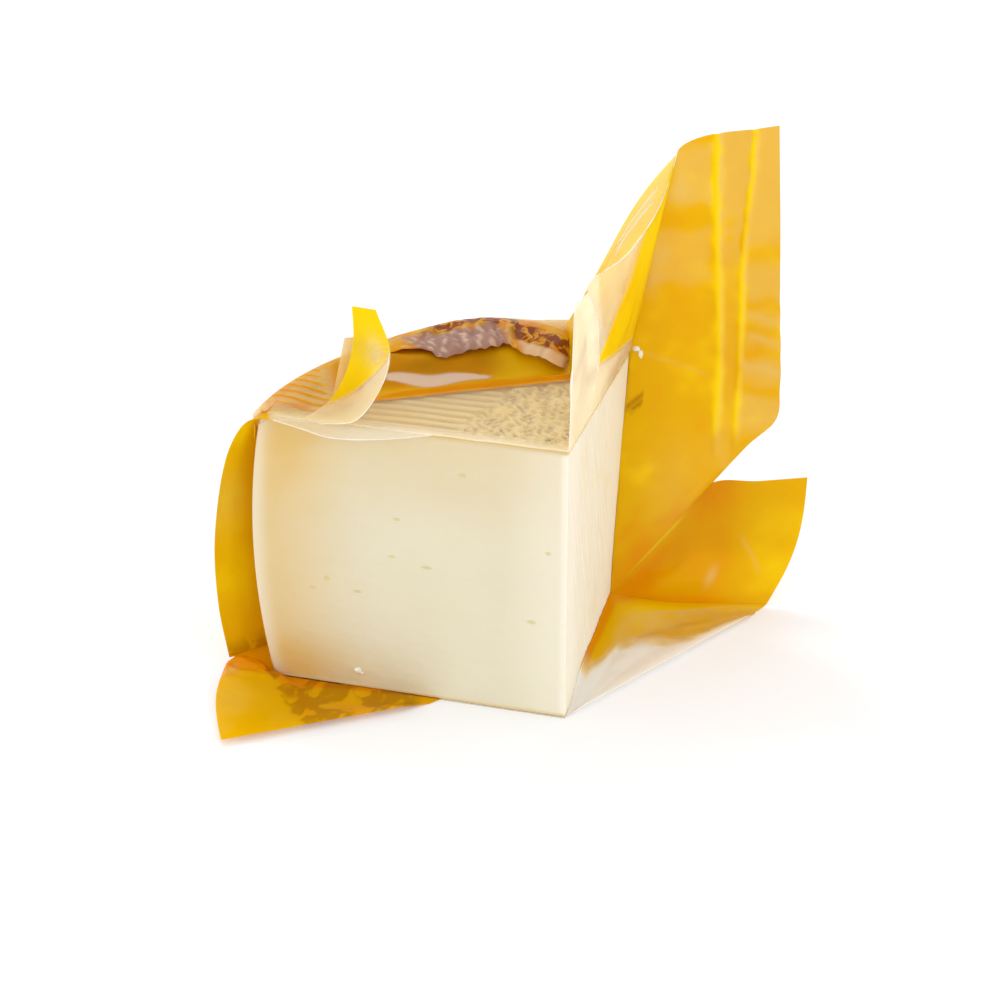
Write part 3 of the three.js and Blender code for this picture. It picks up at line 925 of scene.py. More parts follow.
@dataclass
class Cheese:
    """The wedge, its press marks, its cut faces and its loose crumbs."""

    size: WedgeSize = field(default_factory=WedgeSize)
    steps: int = 112
    # The place and the half sizes of each crumb.
    crumb_sizes: tuple[tuple[Spot, Spot], ...] = (
        ((1.5, 60.6, 72.4), (1.1, 0.6, 0.7)), ((2.7, 60.9, 70.9), (0.6, 0.5, 1.1)),
        ((-52.6, -0.1, 5.1), (1.0, 0.5, 0.7)), ((-51.6, -0.1, 4.5), (0.5, 0.4, 0.4)))

    def crowd(self, part: Array) -> Array:
        """Moves grid lines towards the edges, where the rounding needs them.

        Args:
            part: Places on the even grid, from 0 to 1.

        Returns:
            The moved places.
        """
        index = part * self.steps
        last = self.steps
        near = np.array([0.0, 0.3, 0.62, 1.05]) / 78.0
        return np.interp(index, [0, 1, 2, 3, last - 3, last - 2, last - 1, last],
                         [*near, *(1 - near[::-1])])

    def round_edges(self, spots: Array) -> Array:
        """Rounds the sharp edges of the cut faces.

        Args:
            spots: Points on the sharp-edged wedge.

        Returns:
            The points on the rounded wedge.
        """
        x, y, z = spots.T
        reach = np.maximum(self.size.radius(z), 1.0)
        radius = np.hypot(x, y)
        small = self.size.edge_rounding
        inward = np.column_stack([y, -x, self.size.top - z, z - self.size.bottom, reach - radius])
        over = np.clip(small - inward, 0.0, None)
        length = np.linalg.norm(over, axis=1)
        scale = np.where(length > small, small / np.maximum(length, 1e-6), 1.0)
        change = over * (1 - scale[:, None])
        shrink = 1 - change[:, 4] / np.maximum(radius, 1.0)
        return np.column_stack([
            x * shrink - change[:, 1], y * shrink + change[:, 0], z - change[:, 2] + change[:, 3]])

    def shape(self, cube: Array) -> Array:
        """Bends a cube of side 1 into the wedge.

        Args:
            cube: The cube's vertices, from 0 to 1.

        Returns:
            The wedge's vertices in millimetres.
        """
        u, v, w = self.crowd(cube).T
        size = self.size
        z = size.bottom + w * (size.top - size.bottom)
        reach = np.maximum(u, v)  # 1 on the rim
        ends = ((size.top, size.top_rounding, 1), (size.bottom, size.bottom_rounding, -1))
        for level, rounding, sign in ends:
            corner = size.radius(level - sign * rounding) - rounding
            out = np.clip(reach * (corner + rounding) - corner, 0.0, None)
            up = np.clip(sign * (z - level) + rounding, 0.0, None)
            length = np.hypot(out, up)
            scale = np.where(length > rounding, np.maximum(out, up) / np.maximum(length, 1e-6), 1.0)
            inside = (out > 0) & (up > 0)
            scale = np.where(inside, scale, 1.0)
            z = np.where(inside, level - sign * (rounding - up * scale), z)
            wide = np.where(inside, corner + out * scale, 0.0)
            if sign == 1:
                top_wide, top_inside = wide, inside
            else:
                low_wide, low_inside = wide, inside
        barrel = np.clip(z, size.bottom + size.bottom_rounding, size.top - size.top_rounding)
        radius = reach * size.radius(barrel)
        radius = np.where(top_inside, top_wide, np.where(low_inside, low_wide, radius))
        ratio = radius / np.maximum(reach, 1e-6)
        x, y = quarter_disc(u, v, 1.0)
        return self.round_edges(np.column_stack([x * ratio, y * ratio, z]))

    def relief(self, spots: Array) -> tuple[Array, Marks]:
        """Presses the marks into the wedge and finds the values of its finish.

        Args:
            spots: The wedge's vertices in millimetres.

        Returns:
            The moved vertices, and the values of each mark.
        """
        x, y, z = spots.T
        size = self.size
        reach = size.radius(z)
        radius = np.hypot(x, y)
        on_top = smooth(z, size.top - 1.2, size.top - 0.2)
        on_bottom = fall(z, size.bottom + 0.2, size.bottom + 1.2)
        upright = (1 - on_top) * (1 - on_bottom)
        on_rim = smooth(radius - reach, -4.2, -0.6) * upright
        on_front = fall(y, 0.15, 0.8) * upright
        on_right = fall(-x, 0.15, 0.8) * upright * (1 - on_front)
        # The press cloth's lines, the marks of the mould and the waves of the cut.
        inner = smooth(y, 0.6, 2.2) * smooth(-x, 0.6, 2.2) * fall(radius, reach - 5.0, reach - 1.5)
        weave = np.sin(np.arctan2(y, -x) * reach / 1.1) * np.sin(z / 1.1)
        front_waves = 0.16 * ripple(x, z, 1.3, 31.0) + 0.05 * ripple(x, 2.4 * z, 4.4, 7.0)
        drag = z + 2.1 * y
        right_waves = 0.13 * ripple(y * 2.6 + 0.9 * z, 0.35 * drag, 2.2, 6.5) + 0.1 * ripple(y, z, 6.1, 19.0)
        moved = spots.copy()
        moved[:, 2] -= on_top * inner * size.groove_depth * press_ridges(x, y)
        moved[:, 1] += on_front * (0.2 + front_waves) * fall(radius, reach - 4.0, reach)
        moved[:, 0] -= on_right * (0.14 + right_waves) * (1 - 0.9 * smooth(y, 36.0, 44.0))
        out = on_rim * smooth(y, 0.5, 3.0) * smooth(-x, 0.5, 3.0) * 0.12 * (weave - 1.0)
        moved[:, 0] += out * x / np.maximum(radius, 1.0)
        moved[:, 1] += out * y / np.maximum(radius, 1.0)
        # The front face is painted tanner towards its left edge and its foot, as shade and a warm reflection
        # of the yellow film, and it is darker towards its top.
        front_tan_and_shade = fall(x, -75.0, -48.0) * (0.72 + 0.28 * smooth(np.abs(z - 30.0), 12.0, 42.0))
        front_tan_and_shade = front_tan_and_shade + 0.34 * fall(x, -72.0, -25.0) * fall(z, 3.0, 17.0)
        front_tan_and_shade = front_tan_and_shade + 0.3 * smooth(z, 40.0, 66.0) + 0.12 * smooth(z, 62.0, 71.0)
        # Painted shade on the top in front of the hump.
        hump_shade = 0.45 * on_top * smooth(hump_line(x, y)[1], -13.0, -2.0)
        # Paler towards the tip, painted highlights along the tip edge and the rim's edge, and the right face
        # painted lighter.
        pale_and_lit_cut = 0.45 * smooth(x, -18.0, -2.0) + 0.5 * smooth(x, -2.2, -0.8)
        pale_and_lit_cut = pale_and_lit_cut + 0.35 * bell(radius - reach, -0.5, 2.5)
        pale_and_lit_cut = pale_and_lit_cut * on_front + on_right * (0.72 + 0.25 * fall(y, 6.0, 14.0))
        # Painted shade on the far, low part of the right face.
        shadow = on_right * smooth(y, 40.0, 58.0) * (0.05 + 0.5 * fall(z, 8.0, 40.0))
        marks = {
            Mark.RIND: np.maximum(np.maximum(on_top, on_bottom), on_rim * (1 - on_front)),
            Mark.GROOVE: on_top * inner,
            Mark.DRAG: on_right * smooth(y, 9.0, 15.0),
            Mark.TAN: front_tan_and_shade * on_front * (1 - 0.45 * on_rim) + shadow + hump_shade,
            Mark.PALE: pale_and_lit_cut - 0.8 * shadow,
        }
        return moved, marks

    def wedge(self) -> bpy.types.Object:
        """Bends the wedge from a finely divided cube.

        Returns:
            The wedge.
        """
        deselect_all()
        bpy.ops.mesh.primitive_cube_add(size=1.0)
        wedge = bpy.context.object
        wedge.name = wedge.data.name = "cheese_wedge"
        bpy.ops.object.mode_set(mode="EDIT")
        bpy.ops.mesh.select_all(action="SELECT")
        bpy.ops.mesh.subdivide(number_cuts=self.steps // 2 - 1)
        bpy.ops.mesh.subdivide(number_cuts=1)
        bpy.ops.object.mode_set(mode="OBJECT")
        spots, marks = self.relief(self.shape(vertex_places(wedge) + 0.5))
        set_places(wedge, to_row(spots))
        for mark, values in marks.items():
            set_mark(wedge, mark, values)
        face_outwards(wedge)
        smooth_shade(wedge, 60.0)
        return wedge

    def crumbs(self) -> bpy.types.Object:
        """Makes the small crumbs that cling to the film and to the cut.

        Returns:
            The crumbs.
        """
        crumbs = []
        for index, (place, half) in enumerate(self.crumb_sizes):
            deselect_all()
            bpy.ops.mesh.primitive_ico_sphere_add(subdivisions=3, radius=1.0)
            crumb = bpy.context.object
            ball = vertex_places(crumb)
            rough = 1 + 0.22 * ripple(ball[:, 0] + index, ball[:, 1] - ball[:, 2], 1.0 + index, 1.4)
            set_places(crumb, to_row(ball * rough[:, None] * np.array(half) + np.array(place)))
            for mark in (Mark.RIND, Mark.GROOVE, Mark.TAN, Mark.DRAG):
                set_mark(crumb, mark, 0.0)
            set_mark(crumb, Mark.PALE, 0.9)
            crumbs.append(crumb)
        whole = join_pieces("cheese_crumbs", crumbs)
        smooth_shade(whole)
        return whole

    def build(self, material: bpy.types.Material) -> None:
        """Makes the wedge and its crumbs and fastens them.

        Args:
            material: The cheese's material.
        """
        finish_piece(self.wedge(), material, "cheese")
        finish_piece(self.crumbs(), material)


# ---- Sheets of film ----


@dataclass
class Sheet:
    """One stretch of film: where it lies and how it is printed."""

    name: str
    place: Place
    columns: int
    rows: int
    dress: Dress

    def build(self) -> bpy.types.Object:
        """Lays a grid on the surface and gives it its thickness.

        Returns:
            The closed sheet.
        """
        deselect_all()
        bpy.ops.mesh.primitive_grid_add(x_subdivisions=self.columns, y_subdivisions=self.rows, size=1.0)
        sheet = bpy.context.object
        sheet.name = sheet.data.name = self.name
        flat = vertex_places(sheet) + 0.5
        u, v = flat[:, 0], flat[:, 1]
        spots = self.place(u, v)
        set_places(sheet, to_row(spots))
        values = self.dress(u, v, spots)
        for mark in FILM_MARKS:
            set_mark(sheet, mark, values.get(mark, 0.0))
        apply_modifier(sheet, "SOLIDIFY", thickness=FILM.thickness * MM, offset=0.0, use_even_offset=False)
        smooth_shade(sheet)
        return sheet


def fold_edge(name: str, path: Curve, thickness: float, steps: int = 90) -> bpy.types.Object:
    """A thin rounded bead along the cut edge or a sharp crease of the film, which carries its painted white
    highlight.

    Args:
        name: The bead's name.
        path: The edge.
        thickness: The bead's diameter in millimetres.
        steps: Faces along it.

    Returns:
        The closed bead.
    """
    deselect_all()
    bpy.ops.mesh.primitive_cylinder_add(vertices=6, radius=1.0, depth=1.0, end_fill_type="TRIFAN")
    bead = bpy.context.object
    bead.name = bead.data.name = name
    bpy.ops.object.mode_set(mode="EDIT")
    bpy.ops.mesh.select_all(action="DESELECT")
    bpy.ops.object.mode_set(mode="OBJECT")
    for edge in bead.data.edges:
        ends = [bead.data.vertices[index].co for index in edge.vertices]
        edge.select = abs(ends[0].z - ends[1].z) > 0.5
    bpy.ops.object.mode_set(mode="EDIT")
    bpy.ops.mesh.select_mode(type="EDGE")
    bpy.ops.mesh.subdivide_edgering(number_cuts=steps - 1, interpolation="LINEAR")
    bpy.ops.object.mode_set(mode="OBJECT")
    spots = vertex_places(bead)
    part = np.clip(spots[:, 2] + 0.5, 0.0, 1.0)
    centre = path.at(part)
    ahead = path.at(np.minimum(part + 0.01, 1.0)) - path.at(np.maximum(part - 0.01, 0.0))
    ahead /= np.linalg.norm(ahead, axis=1)[:, None]
    side = np.cross(ahead, np.array([0.0, 1.0, 0.25]))
    side /= np.linalg.norm(side, axis=1)[:, None]
    up = np.cross(side, ahead)
    taper = 0.35 + 0.65 * np.sqrt(np.clip(np.sin(math.pi * np.clip(part, 0.02, 0.98)), 0.0, 1.0))
    reach = (thickness / 2 * taper)[:, None]
    set_places(bead, to_row(centre + reach * (side * spots[:, :1] + up * spots[:, 1:2])))
    face_outwards(bead)
    smooth_shade(bead, 70.0)
    return bead


# ---- The film pack ----
# Every place method maps u, along a sheet, and v, across it, both from 0 to 1, onto points in
# millimetres. Every marks method gives the values of the sheet's finish at its vertices.


@dataclass
class TopWrap:
    """Film on the top, round the rim and under the wedge."""

    lap: float = 3.0  # how far the rim's film turns in under the wedge
    over: float = 0.35  # how far the top film is shifted past the cut faces
    sink: float = 0.45  # how deep the top film goes into the press marks
    shoulder_rise: float = 0.8  # how far the film stands off the rounded rim
    shoulder_rounding: float = 2.0

    @property
    def level(self) -> float:
        """The height of the top film where nothing lifts it."""
        return FILM.top - 0.15

    def hump_rise(self, x: Array, y: Array) -> Array:
        """How far the loose film stands off the top.

        Args:
            x: The points' x.
            y: The points' y.

        Returns:
            The rise at each point.
        """
        distance, behind, length = hump_line(x, y)
        ends = band(distance, -10, 6, length - 8, length + 4)
        lip = 0.9 * bell(behind, 0.8, 0.9) * band(distance, -4, 4, length, length + 6)
        rise = FILM.hump_rise * ends * band(behind, 0, 13, 16, 33)
        crease = 0.45 * ends * smooth(behind, 2, 8) * ripple(distance, 2.2 * behind, 2.7, 21.0)
        return rise + lip + crease

    def top_place(self, u: Array, v: Array) -> Array:
        """The film on the top, sunk a little into the press marks where it clings.

        Args:
            u: From 0 to 1 along the front cut.
            v: From 0 to 1 along the right cut.

        Returns:
            One point for each pair.
        """
        x, y = quarter_disc(u, v, WEDGE.radius(WEDGE.top) - 1.4)
        x, y = x + self.over, y - self.over
        distance, behind, _ = hump_line(x, y)
        radius = np.hypot(x, y)
        clings = 1 - band(behind, -3.2, -1.4, 24.0, 34.0) * smooth(distance, -14, -9)
        clings = clings * smooth(y, 1.5, 4.0) * smooth(-x, 0.5, 3.0)
        sink = self.sink * press_ridges(x, y) * clings * fall(radius, 68.0, 73.5)
        loose = 0.12 * ripple(x, y, 8.8, 14.0) * (1 - clings)
        edge = smooth(radius, 65.0, 72.0) * smooth(y, 1.0, 6.0) * smooth(-x, 0.5, 3.0)
        height = self.level - sink + loose + self.shoulder_rise * edge + self.hump_rise(x, y)
        return np.column_stack([x, y, height])

    @staticmethod
    def glare(distance: Array, behind: Array) -> Array:
        """A pale leaf-shaped shine on the hump.

        Args:
            distance: How far along the hump's line each point lies.
            behind: How far behind the line it lies.

        Returns:
            The shine's strength at each point.
        """
        middle = 6.9 - 0.27 * distance + 0.006 * distance * distance + 0.5 * np.sin(distance / 2.6)
        width = 0.4 + 1.6 * np.sin(math.pi * np.clip((distance - 1.0) / 27.0, 0.02, 0.98) ** 0.7)
        shine = 0.9 * fall(np.abs(behind - middle) / width, 0.7, 1.1)
        return shine * band(distance, 1.0, 3.0, 26.5, 28.5)

    def top_marks(self, u: Array, v: Array, spots: Array) -> Marks:
        """How the film on the top is printed, with painted shade and a painted glare on the hump.

        Args:
            u: From 0 to 1 along the front cut; not used.
            v: From 0 to 1 along the right cut; not used.
            spots: Its points.

        Returns:
            The values of each mark.
        """
        x, y, _ = spots.T
        distance, behind, length = hump_line(x, y)
        glare = self.glare(distance, behind)
        # Yellow at the left and on the hump, clear towards the tip.
        hump = band(behind, -1.4, -0.8, 27, 32) * band(distance, -14, -8, length + 6, length + 14)
        left = smooth(-x - 0.25 * y, 52.0, 57.0) * (0.3 + 0.25 * smooth(y, 4.5, 6.5))
        milky = 0.5 * fall(y, 0.6, 4.5) * fall(behind, -2, 1)
        # Painted shade as deeper orange under the hump, and a deeper orange line along its front.
        shade = 0.45 * band(behind, 0.5, 5.0, 18, 26) * smooth(distance, -14, -8)
        shade = shade * (1 - 0.8 * smooth(distance, 24, 36))
        outline = 0.45 * bell(behind, 0.2, 1.8)
        loose = band(behind, -2.4, -1.6, 24.0, 34.0) * smooth(distance, -14, -9)
        # Painted shade inside the hump, as a darker print.
        inside = band(behind, 1.5, 7.0, 20.0, 26.0) * band(distance, -12, -4, length - 24, length - 12)
        return {
            Mark.INK: np.maximum(hump, left),
            Mark.HAZE: np.maximum(milky, glare),
            Mark.WARM: 0.5 + np.maximum(shade, outline) + 0.14 * ripple(x, y, 1.1, 18.0),
            Mark.PRESS: (1 - loose) * smooth(y, 2.5, 6.0) * smooth(-x, 0.5, 2.5),
            Mark.PLUM: glare,
            Mark.DOUBLE: inside * (0.42 + 0.2 * ripple(distance, 2 * behind, 4.6, 22.0)),
        }

    def rim_place(self, u: Array, v: Array) -> Array:
        """The film round the rim, with soft upright wrinkles.

        Args:
            u: From 0 to 1 round the rim.
            v: From 0 to 1 up the rim.

        Returns:
            One point for each pair.
        """
        corner = WEDGE.rim(FILM.rim_gap, 20, 6)[:-6]
        rounding, top = self.shoulder_rounding, self.level + self.shoulder_rise
        bend = np.linspace(0, math.pi / 2, 7)
        wide = corner[-1, 0] + 0.3
        shoulder = np.column_stack([wide - rounding * (1 - np.cos(bend)),
                                    top - rounding * (1 - np.sin(bend))])
        outline = np.vstack([[corner[0, 0] - self.lap, corner[0, 1]], corner, shoulder,
                             [shoulder[-1, 0] - 1.5, top]])
        steps = np.linspace(0, 1, len(outline))
        radius, height = np.interp(v, steps, outline[:, 0]), np.interp(v, steps, outline[:, 1])
        start = math.radians(FILM.flap_start) * fall(height, FILM.top - 15, FILM.top - 6)
        turn = start + (math.pi / 2 - start) * u
        arc = turn * 78.0
        pleat = 0.5 * np.clip(ripple(arc, 0.16 * height, 7.7, 15.0), 0.0, 1.0) ** 1.5
        pleat = pleat + 0.25 * np.clip(ripple(arc + 0.5 * height, 0.4 * height, 3.3, 26.0), 0.0, 1.0)
        radius = radius + band(height, 4.0, 18.0, 56.0, 70.0) * band(u, 0.0, 0.1, 0.9, 1.0) * pleat
        height = np.maximum(height, FILM.ground)
        return np.column_stack([-radius * np.cos(turn), radius * np.sin(turn), height])

    @staticmethod
    def rim_marks(u: Array, v: Array, spots: Array) -> Marks:
        """How the film round the rim is printed, thinner over the shoulder.

        Args:
            u: From 0 to 1 round the rim; not used.
            v: From 0 to 1 up the rim; not used.
            spots: Its points.

        Returns:
            The values of each mark.
        """
        x, y, z = spots.T
        depth = FILM.top - z
        thin = fall(depth, 1, 4) * (0.4 * fall(y, 26, 38) + 0.3 * fall(y, 4, 10))
        right = 0.7 * fall(depth, 0, 2) * smooth(x, -42, -32)
        return {
            Mark.INK: 1.0 - (thin + right),
            Mark.WARM: 0.45 + 0.15 * ripple(x + y, z, 4.1, 30.0) + 0.25 * fall(depth, 2, 6),
            Mark.PRESS: fall(depth, 1, 3) * band(y, 3, 6, 24, 36),
        }

    @staticmethod
    def base_place(u: Array, v: Array) -> Array:
        """The film under the wedge."""
        x, y = quarter_disc(u, v, WEDGE.radius(WEDGE.bottom) - 2)
        return np.column_stack([x, y, np.full_like(x, FILM.ground)])

    @staticmethod
    def base_marks(u: Array, v: Array, spots: Array) -> Marks:
        """How the film under the wedge is printed."""
        return {Mark.INK: smooth(np.hypot(spots[:, 0], spots[:, 1]), 40, 50), Mark.HAZE: 0.3}

    @staticmethod
    def crinkles(u: Array, v: Array) -> Array:
        """Narrow waves that fan out over the fold."""
        fan = 17.0 * u + 2.2 * v + 0.45 * ripple(30 * u, 12 * v, 6.2, 9.0)
        return 0.25 * np.sin(2 * math.pi * fan)

    def fold_place(self, u: Array, v: Array) -> Array:
        """The crumpled film that is folded back over the hump.

        Args:
            u: From 0 to 1 along the fold, from the left.
            v: From 0 to 1 across it, from the back.

        Returns:
            One point for each pair.
        """
        top = FILM.top
        back = Curve((-65, 32, top), (-56, 46.5, top), (-45, 57, top), (-31, 65.5, top), (-15, 70.5, top))
        front = Curve((-60, 31, top + 3), (-46, 32.6, top + 6.2), (-38, 34, top + 6), (-30, 38.8, top + 6),
                      (-25, 42, top + 6), (-18, 41, top + 3.8), (-12, 43, top + 1.2))
        spots = ruled(back, front)(u, v)
        ends = np.sin(math.pi * np.clip(u, 0, 1))
        spots[:, 2] += 3 * np.sqrt(np.clip(ends * np.sin(math.pi * np.clip(v, 0, 1)), 0, None))
        spots[:, 2] += 2.2 * np.sqrt(np.clip(ends, 0, None)) * band(v, 0, 0.1, 0.3, 0.8)
        spots[:, 2] += 0.7 * v * np.sin(5 * math.pi * u)
        crumple = 0.8 * ripple(70 * u, 24 * v, 2.9, 11.0) + self.crinkles(u, v)
        spots[:, 2] += ends * smooth(v, 0.15, 0.6) * (crumple - 0.1)
        spots[:, 1] -= 1.6 * smooth(v, 0.75, 1.0) * (0.5 + 0.5 * np.sin(9 * math.pi * u))
        return spots

    def fold_marks(self, u: Array, v: Array, spots: Array) -> Marks:
        """How the fold is printed.

        Args:
            u: From 0 to 1 along the fold, from the left.
            v: From 0 to 1 across it, from the back.
            spots: Its points; not used.

        Returns:
            The values of each mark.
        """
        # Shines on the crinkles and along the front edge at the right.
        crinkle = self.crinkles(u, v) + ripple(90 * u, 26 * v, 2.2, 6.0)
        crinkle = crinkle + 0.5 * ripple(120 * u, 50 * v, 5.1, 9.0)
        shine = smooth(crinkle, 0.15, 0.8) * smooth(v, 0.4, 0.6) * fall(u, 0.66, 0.72)
        edge = smooth(v, 0.80, 0.86) * smooth(u, 0.70, 0.76)
        # Dark petals at the back of the fold and along its right and left parts.
        back = band(u, 0.30, 0.38, 0.72, 0.78) * band(v, 0.12, 0.2, 0.48, 0.56)
        right = smooth(u, 0.66, 0.74) * band(v, 0.42, 0.5, 0.78, 0.84)
        left = 0.5 * band(u, 0.06, 0.12, 0.3, 0.4) * band(v, 0.40, 0.46, 0.52, 0.6)
        # Greyish purple in front at the left.
        purple = fall(u, 0.60, 0.70) * smooth(v + 0.12 * ripple(30 * u, 9 * v, 1.2, 6.0), 0.46, 0.58)
        return {
            Mark.INK: 0.97 - 0.8 * smooth(u, 0.5, 0.7) * fall(v, 0.22, 0.32),
            Mark.WARM: 0.85 + 0.25 * ripple(60 * u, 20 * v, 1.9, 12.0),
            Mark.HAZE: np.maximum(0.65 * shine, 0.85 * edge * fall(u, 0.97, 1.0)),
            Mark.MOTIF: np.maximum(np.maximum(back, right), left),
            Mark.PLUM: 0.85 * smooth(u, 0.12, 0.2) * purple + 0.7 * edge,
        }

    @staticmethod
    def lip_place(u: Array, v: Array) -> Array:
        """The front edge of the top film curls over the cut.

        Args:
            u: From 0 to 1 along the edge.
            v: From 0 to 1 across the lip.

        Returns:
            One point for each pair.
        """
        top = FILM.top
        edge = Curve((-73, -0.5, top), (-32, -0.5, top))
        lip = Curve((-72, -2.6, top - 0.2), (-64, -3, top - 1.4), (-57, -3, top - 2.8), (-46, -2.8, top - 2),
                    (-33, -1, top - 0.1))
        spots = ruled(edge, lip)(u, v)
        spots[:, 2] += 0.5 * np.sin(math.pi * v) * np.sin(math.pi * u)
        return spots

    @staticmethod
    def lip_marks(u: Array, v: Array, spots: Array) -> Marks:
        """How the lip is printed, and where it is milky."""
        return {Mark.INK: 0.2 * fall(u, 0.05, 0.2), Mark.HAZE: 0.12 + 0.2 * smooth(u, 0.2, 0.9) + 0.1 * v,
                Mark.WARM: 0.2}

    def build(self) -> list[bpy.types.Object]:
        """Makes the sheets."""
        return [sheet.build() for sheet in (
            Sheet("film_top", self.top_place, 190, 190, self.top_marks),
            Sheet("film_rim", self.rim_place, 110, 56, self.rim_marks),
            Sheet("film_base", self.base_place, 24, 24, self.base_marks),
            Sheet("film_fold", self.fold_place, 110, 44, self.fold_marks),
            Sheet("film_lip", self.lip_place, 60, 8, self.lip_marks))]


@dataclass
class UprightFilm:
    """The clear wall, the layers behind it and the sail on the right."""

    swell: float = 2.0  # how far the layers behind the wall are blown out
    embed: float = 0.15  # how far the peel line lies inside the cheese, so that no gap shows

    @property
    def apex(self) -> Array:
        """Where the wall, the back layers and the sail meet at the top."""
        return np.array([10.5, 60.0, FILM.sail_top - 7])

    @property
    def crease_foot(self) -> Array:
        """The crease's lower end, on the cheese's top."""
        return np.array([0.1, 60.0, FILM.top])

    @property
    def wall_top(self) -> Curve:
        """The wall's free upper edge."""
        high = FILM.top + FILM.wall_height
        return Curve((FILM.side, 3.8, high - 1), (FILM.side, 14, high + 1.5), (FILM.side, 28, high - 1),
                     (1.5, 46, high - 3.5), (3.6, 57, high - 1.5), (6.6, 60, high + 4.5), self.apex)

    @property
    def peel_line(self) -> Curve:
        """Where the film lets go of the right cut face, from the ground up."""
        side = -self.embed
        return Curve(FILM.heel, (side, 47.5, 25), (side, 51, 37), (side, 54, 50), (side, 58, 64),
                     self.crease_foot)

    @staticmethod
    def wall_fold(v: Array) -> Array:
        """The place of the wall's soft fold at each height."""
        return np.interp(v, [0.25, 0.38, 0.51, 0.72, 0.81, 0.96, 1.0],
                         [0.345, 0.34, 0.31, 0.265, 0.235, 0.14, 0.11])

    def wall_place(self, u: Array, v: Array) -> Array:
        """The clear wall, with one soft fold down its front part.

        Args:
            u: From 0 to 1 along the wall, from its front edge.
            v: From 0 to 1 up the wall.

        Returns:
            One point for each pair.
        """
        foot = Curve((FILM.side, -0.3, FILM.top), self.crease_foot)
        spots = ruled(foot, self.wall_top)(u, v)
        stand = smooth(v, 0.02, 0.4)
        fold = self.wall_fold(v)
        spots[:, 0] += 1.0 * stand * bell(u, fold, 0.03) - 0.5 * stand * bell(u, fold - 0.07, 0.05)
        spots[:, 0] += 0.45 * stand * ripple(60 * u, 34 * v, 3.9, 25.0) * fall(u, 0.85, 0.98)
        return spots

    def wall_marks(self, u: Array, v: Array, spots: Array) -> Marks:
        """How the wall is printed, and where it is milky.

        Args:
            u: From 0 to 1 along the wall, from its front edge.
            v: From 0 to 1 up the wall.
            spots: Its points; not used.

        Returns:
            The values of each mark.
        """
        # Yellow in a long wedge beside the crease.
        border = np.interp(v, [0.33, 0.54, 0.80, 0.95, 1.0], [0.36, 0.52, 0.58, 0.64, 0.71])
        soft = 0.02 + 0.07 * smooth(v, 0.5, 0.9)
        low_end = 0.33 - 0.434 * (u - 0.36)
        ink = smooth((u - border) / soft, -1.0, 1.0) * smooth(v - low_end, -0.02, 0.03)
        # Milky along the free edge and low down, with a painted highlight along the fold.
        ribbon = 0.3 * bell(u, self.wall_fold(v) - 0.045, 0.04) * smooth(v, 0.3, 0.4)
        front = 0.12 * fall(u, 0.0, 0.12)
        low = 0.42 * bell(v, 0.10 + 0.12 * u, 0.09) * band(u, 0.08, 0.3, 0.9, 1.0)
        cloud = 0.08 * ripple(60 * u, 34 * v, 5.0, 13.0)
        clear = 0.06 * smooth(u, 0.4, 0.6) * fall(v, 0.1, 0.4)
        haze_and_sheen = 0.33 + ribbon + front + low + cloud - clear
        return {Mark.INK: ink, Mark.HAZE: haze_and_sheen * (1 - 0.9 * ink), Mark.WARM: 0.5 * (1 - ink)}

    def back_place(self, u: Array, v: Array) -> Array:
        """The layer that slopes from the wall's top down to the cheese, pulled into long folds.

        Args:
            u: From 0 to 1 along the layer, from its front.
            v: From 0 to 1 up the layer.

        Returns:
            One point for each pair.
        """
        foot = Curve((-9, 38, FILM.top), (-19, 66, FILM.top))
        ridge = Curve(*[self.wall_top.at(part)[0] for part in (0.3, 0.45, 0.6, 0.75, 0.9, 1)])
        spots = ruled(foot, ridge)(u, v)
        spots[:, 0] -= self.swell * np.sin(math.pi * v * v) * u
        body = np.sin(math.pi * np.clip(v, 0, 1)) * np.sin(math.pi * np.clip(u * 0.97 + 0.015, 0, 1))
        spots[:, 0] -= 1.1 * body * np.abs(ripple(34 * u + 3 * v, 5 * v, 5.5, 10.0))
        return spots

    @staticmethod
    def back_marks(u: Array, v: Array, spots: Array) -> Marks:
        """How the back layer is printed, with two painted highlight streaks."""
        streaks = band(v, 0.5, 0.62, 0.86, 0.94) * (bell(u, 0.80, 0.022) + bell(u, 0.88, 0.018))
        return {Mark.INK: 1.0 - 0.28 * smooth(v, 0.25, 0.5) - 0.5 * streaks, Mark.HAZE: 0.8 * streaks,
                Mark.WARM: 0.4 * fall(v, 0.1, 0.4)}

    def rear_place(self, u: Array, v: Array) -> Array:
        """Closes the standing film at the back, from the rim up to the apex.

        Args:
            u: From 0 to 1 along the rim, from the left.
            v: From 0 to 1 up the layer.

        Returns:
            One point for each pair.
        """
        radius, height = WEDGE.rim(FILM.rim_gap, 5, 3)[-3]
        on_rim = [(-radius * math.cos(math.radians(d)), radius * math.sin(math.radians(d)), height)
                  for d in (75, 83, 90)]
        on_rim[2] = (FILM.side, on_rim[2][1], height)
        foot = Curve((-19, 66, FILM.top), *on_rim, (FILM.side + 0.1, 60.2, FILM.top))
        peak = Curve(self.apex + (-0.6, 0.9, -1.5), self.apex + (0, 0.25, -0.3))
        spots = ruled(foot, peak)(u, v)
        spots[:, 0] -= self.swell * np.sin(math.pi * v * v) * (1 - u)
        spots[:, 1] += 0.7 * np.sin(math.pi * v) * np.sin(math.pi * u) * ripple(30 * u, 50 * v, 2.4, 17.0)
        return spots

    @staticmethod
    def rear_marks(u: Array, v: Array, spots: Array) -> Marks:
        """How the rear layer is printed."""
        return {Mark.INK: 1.0 - 0.5 * smooth(v, 0.2, 0.6)}

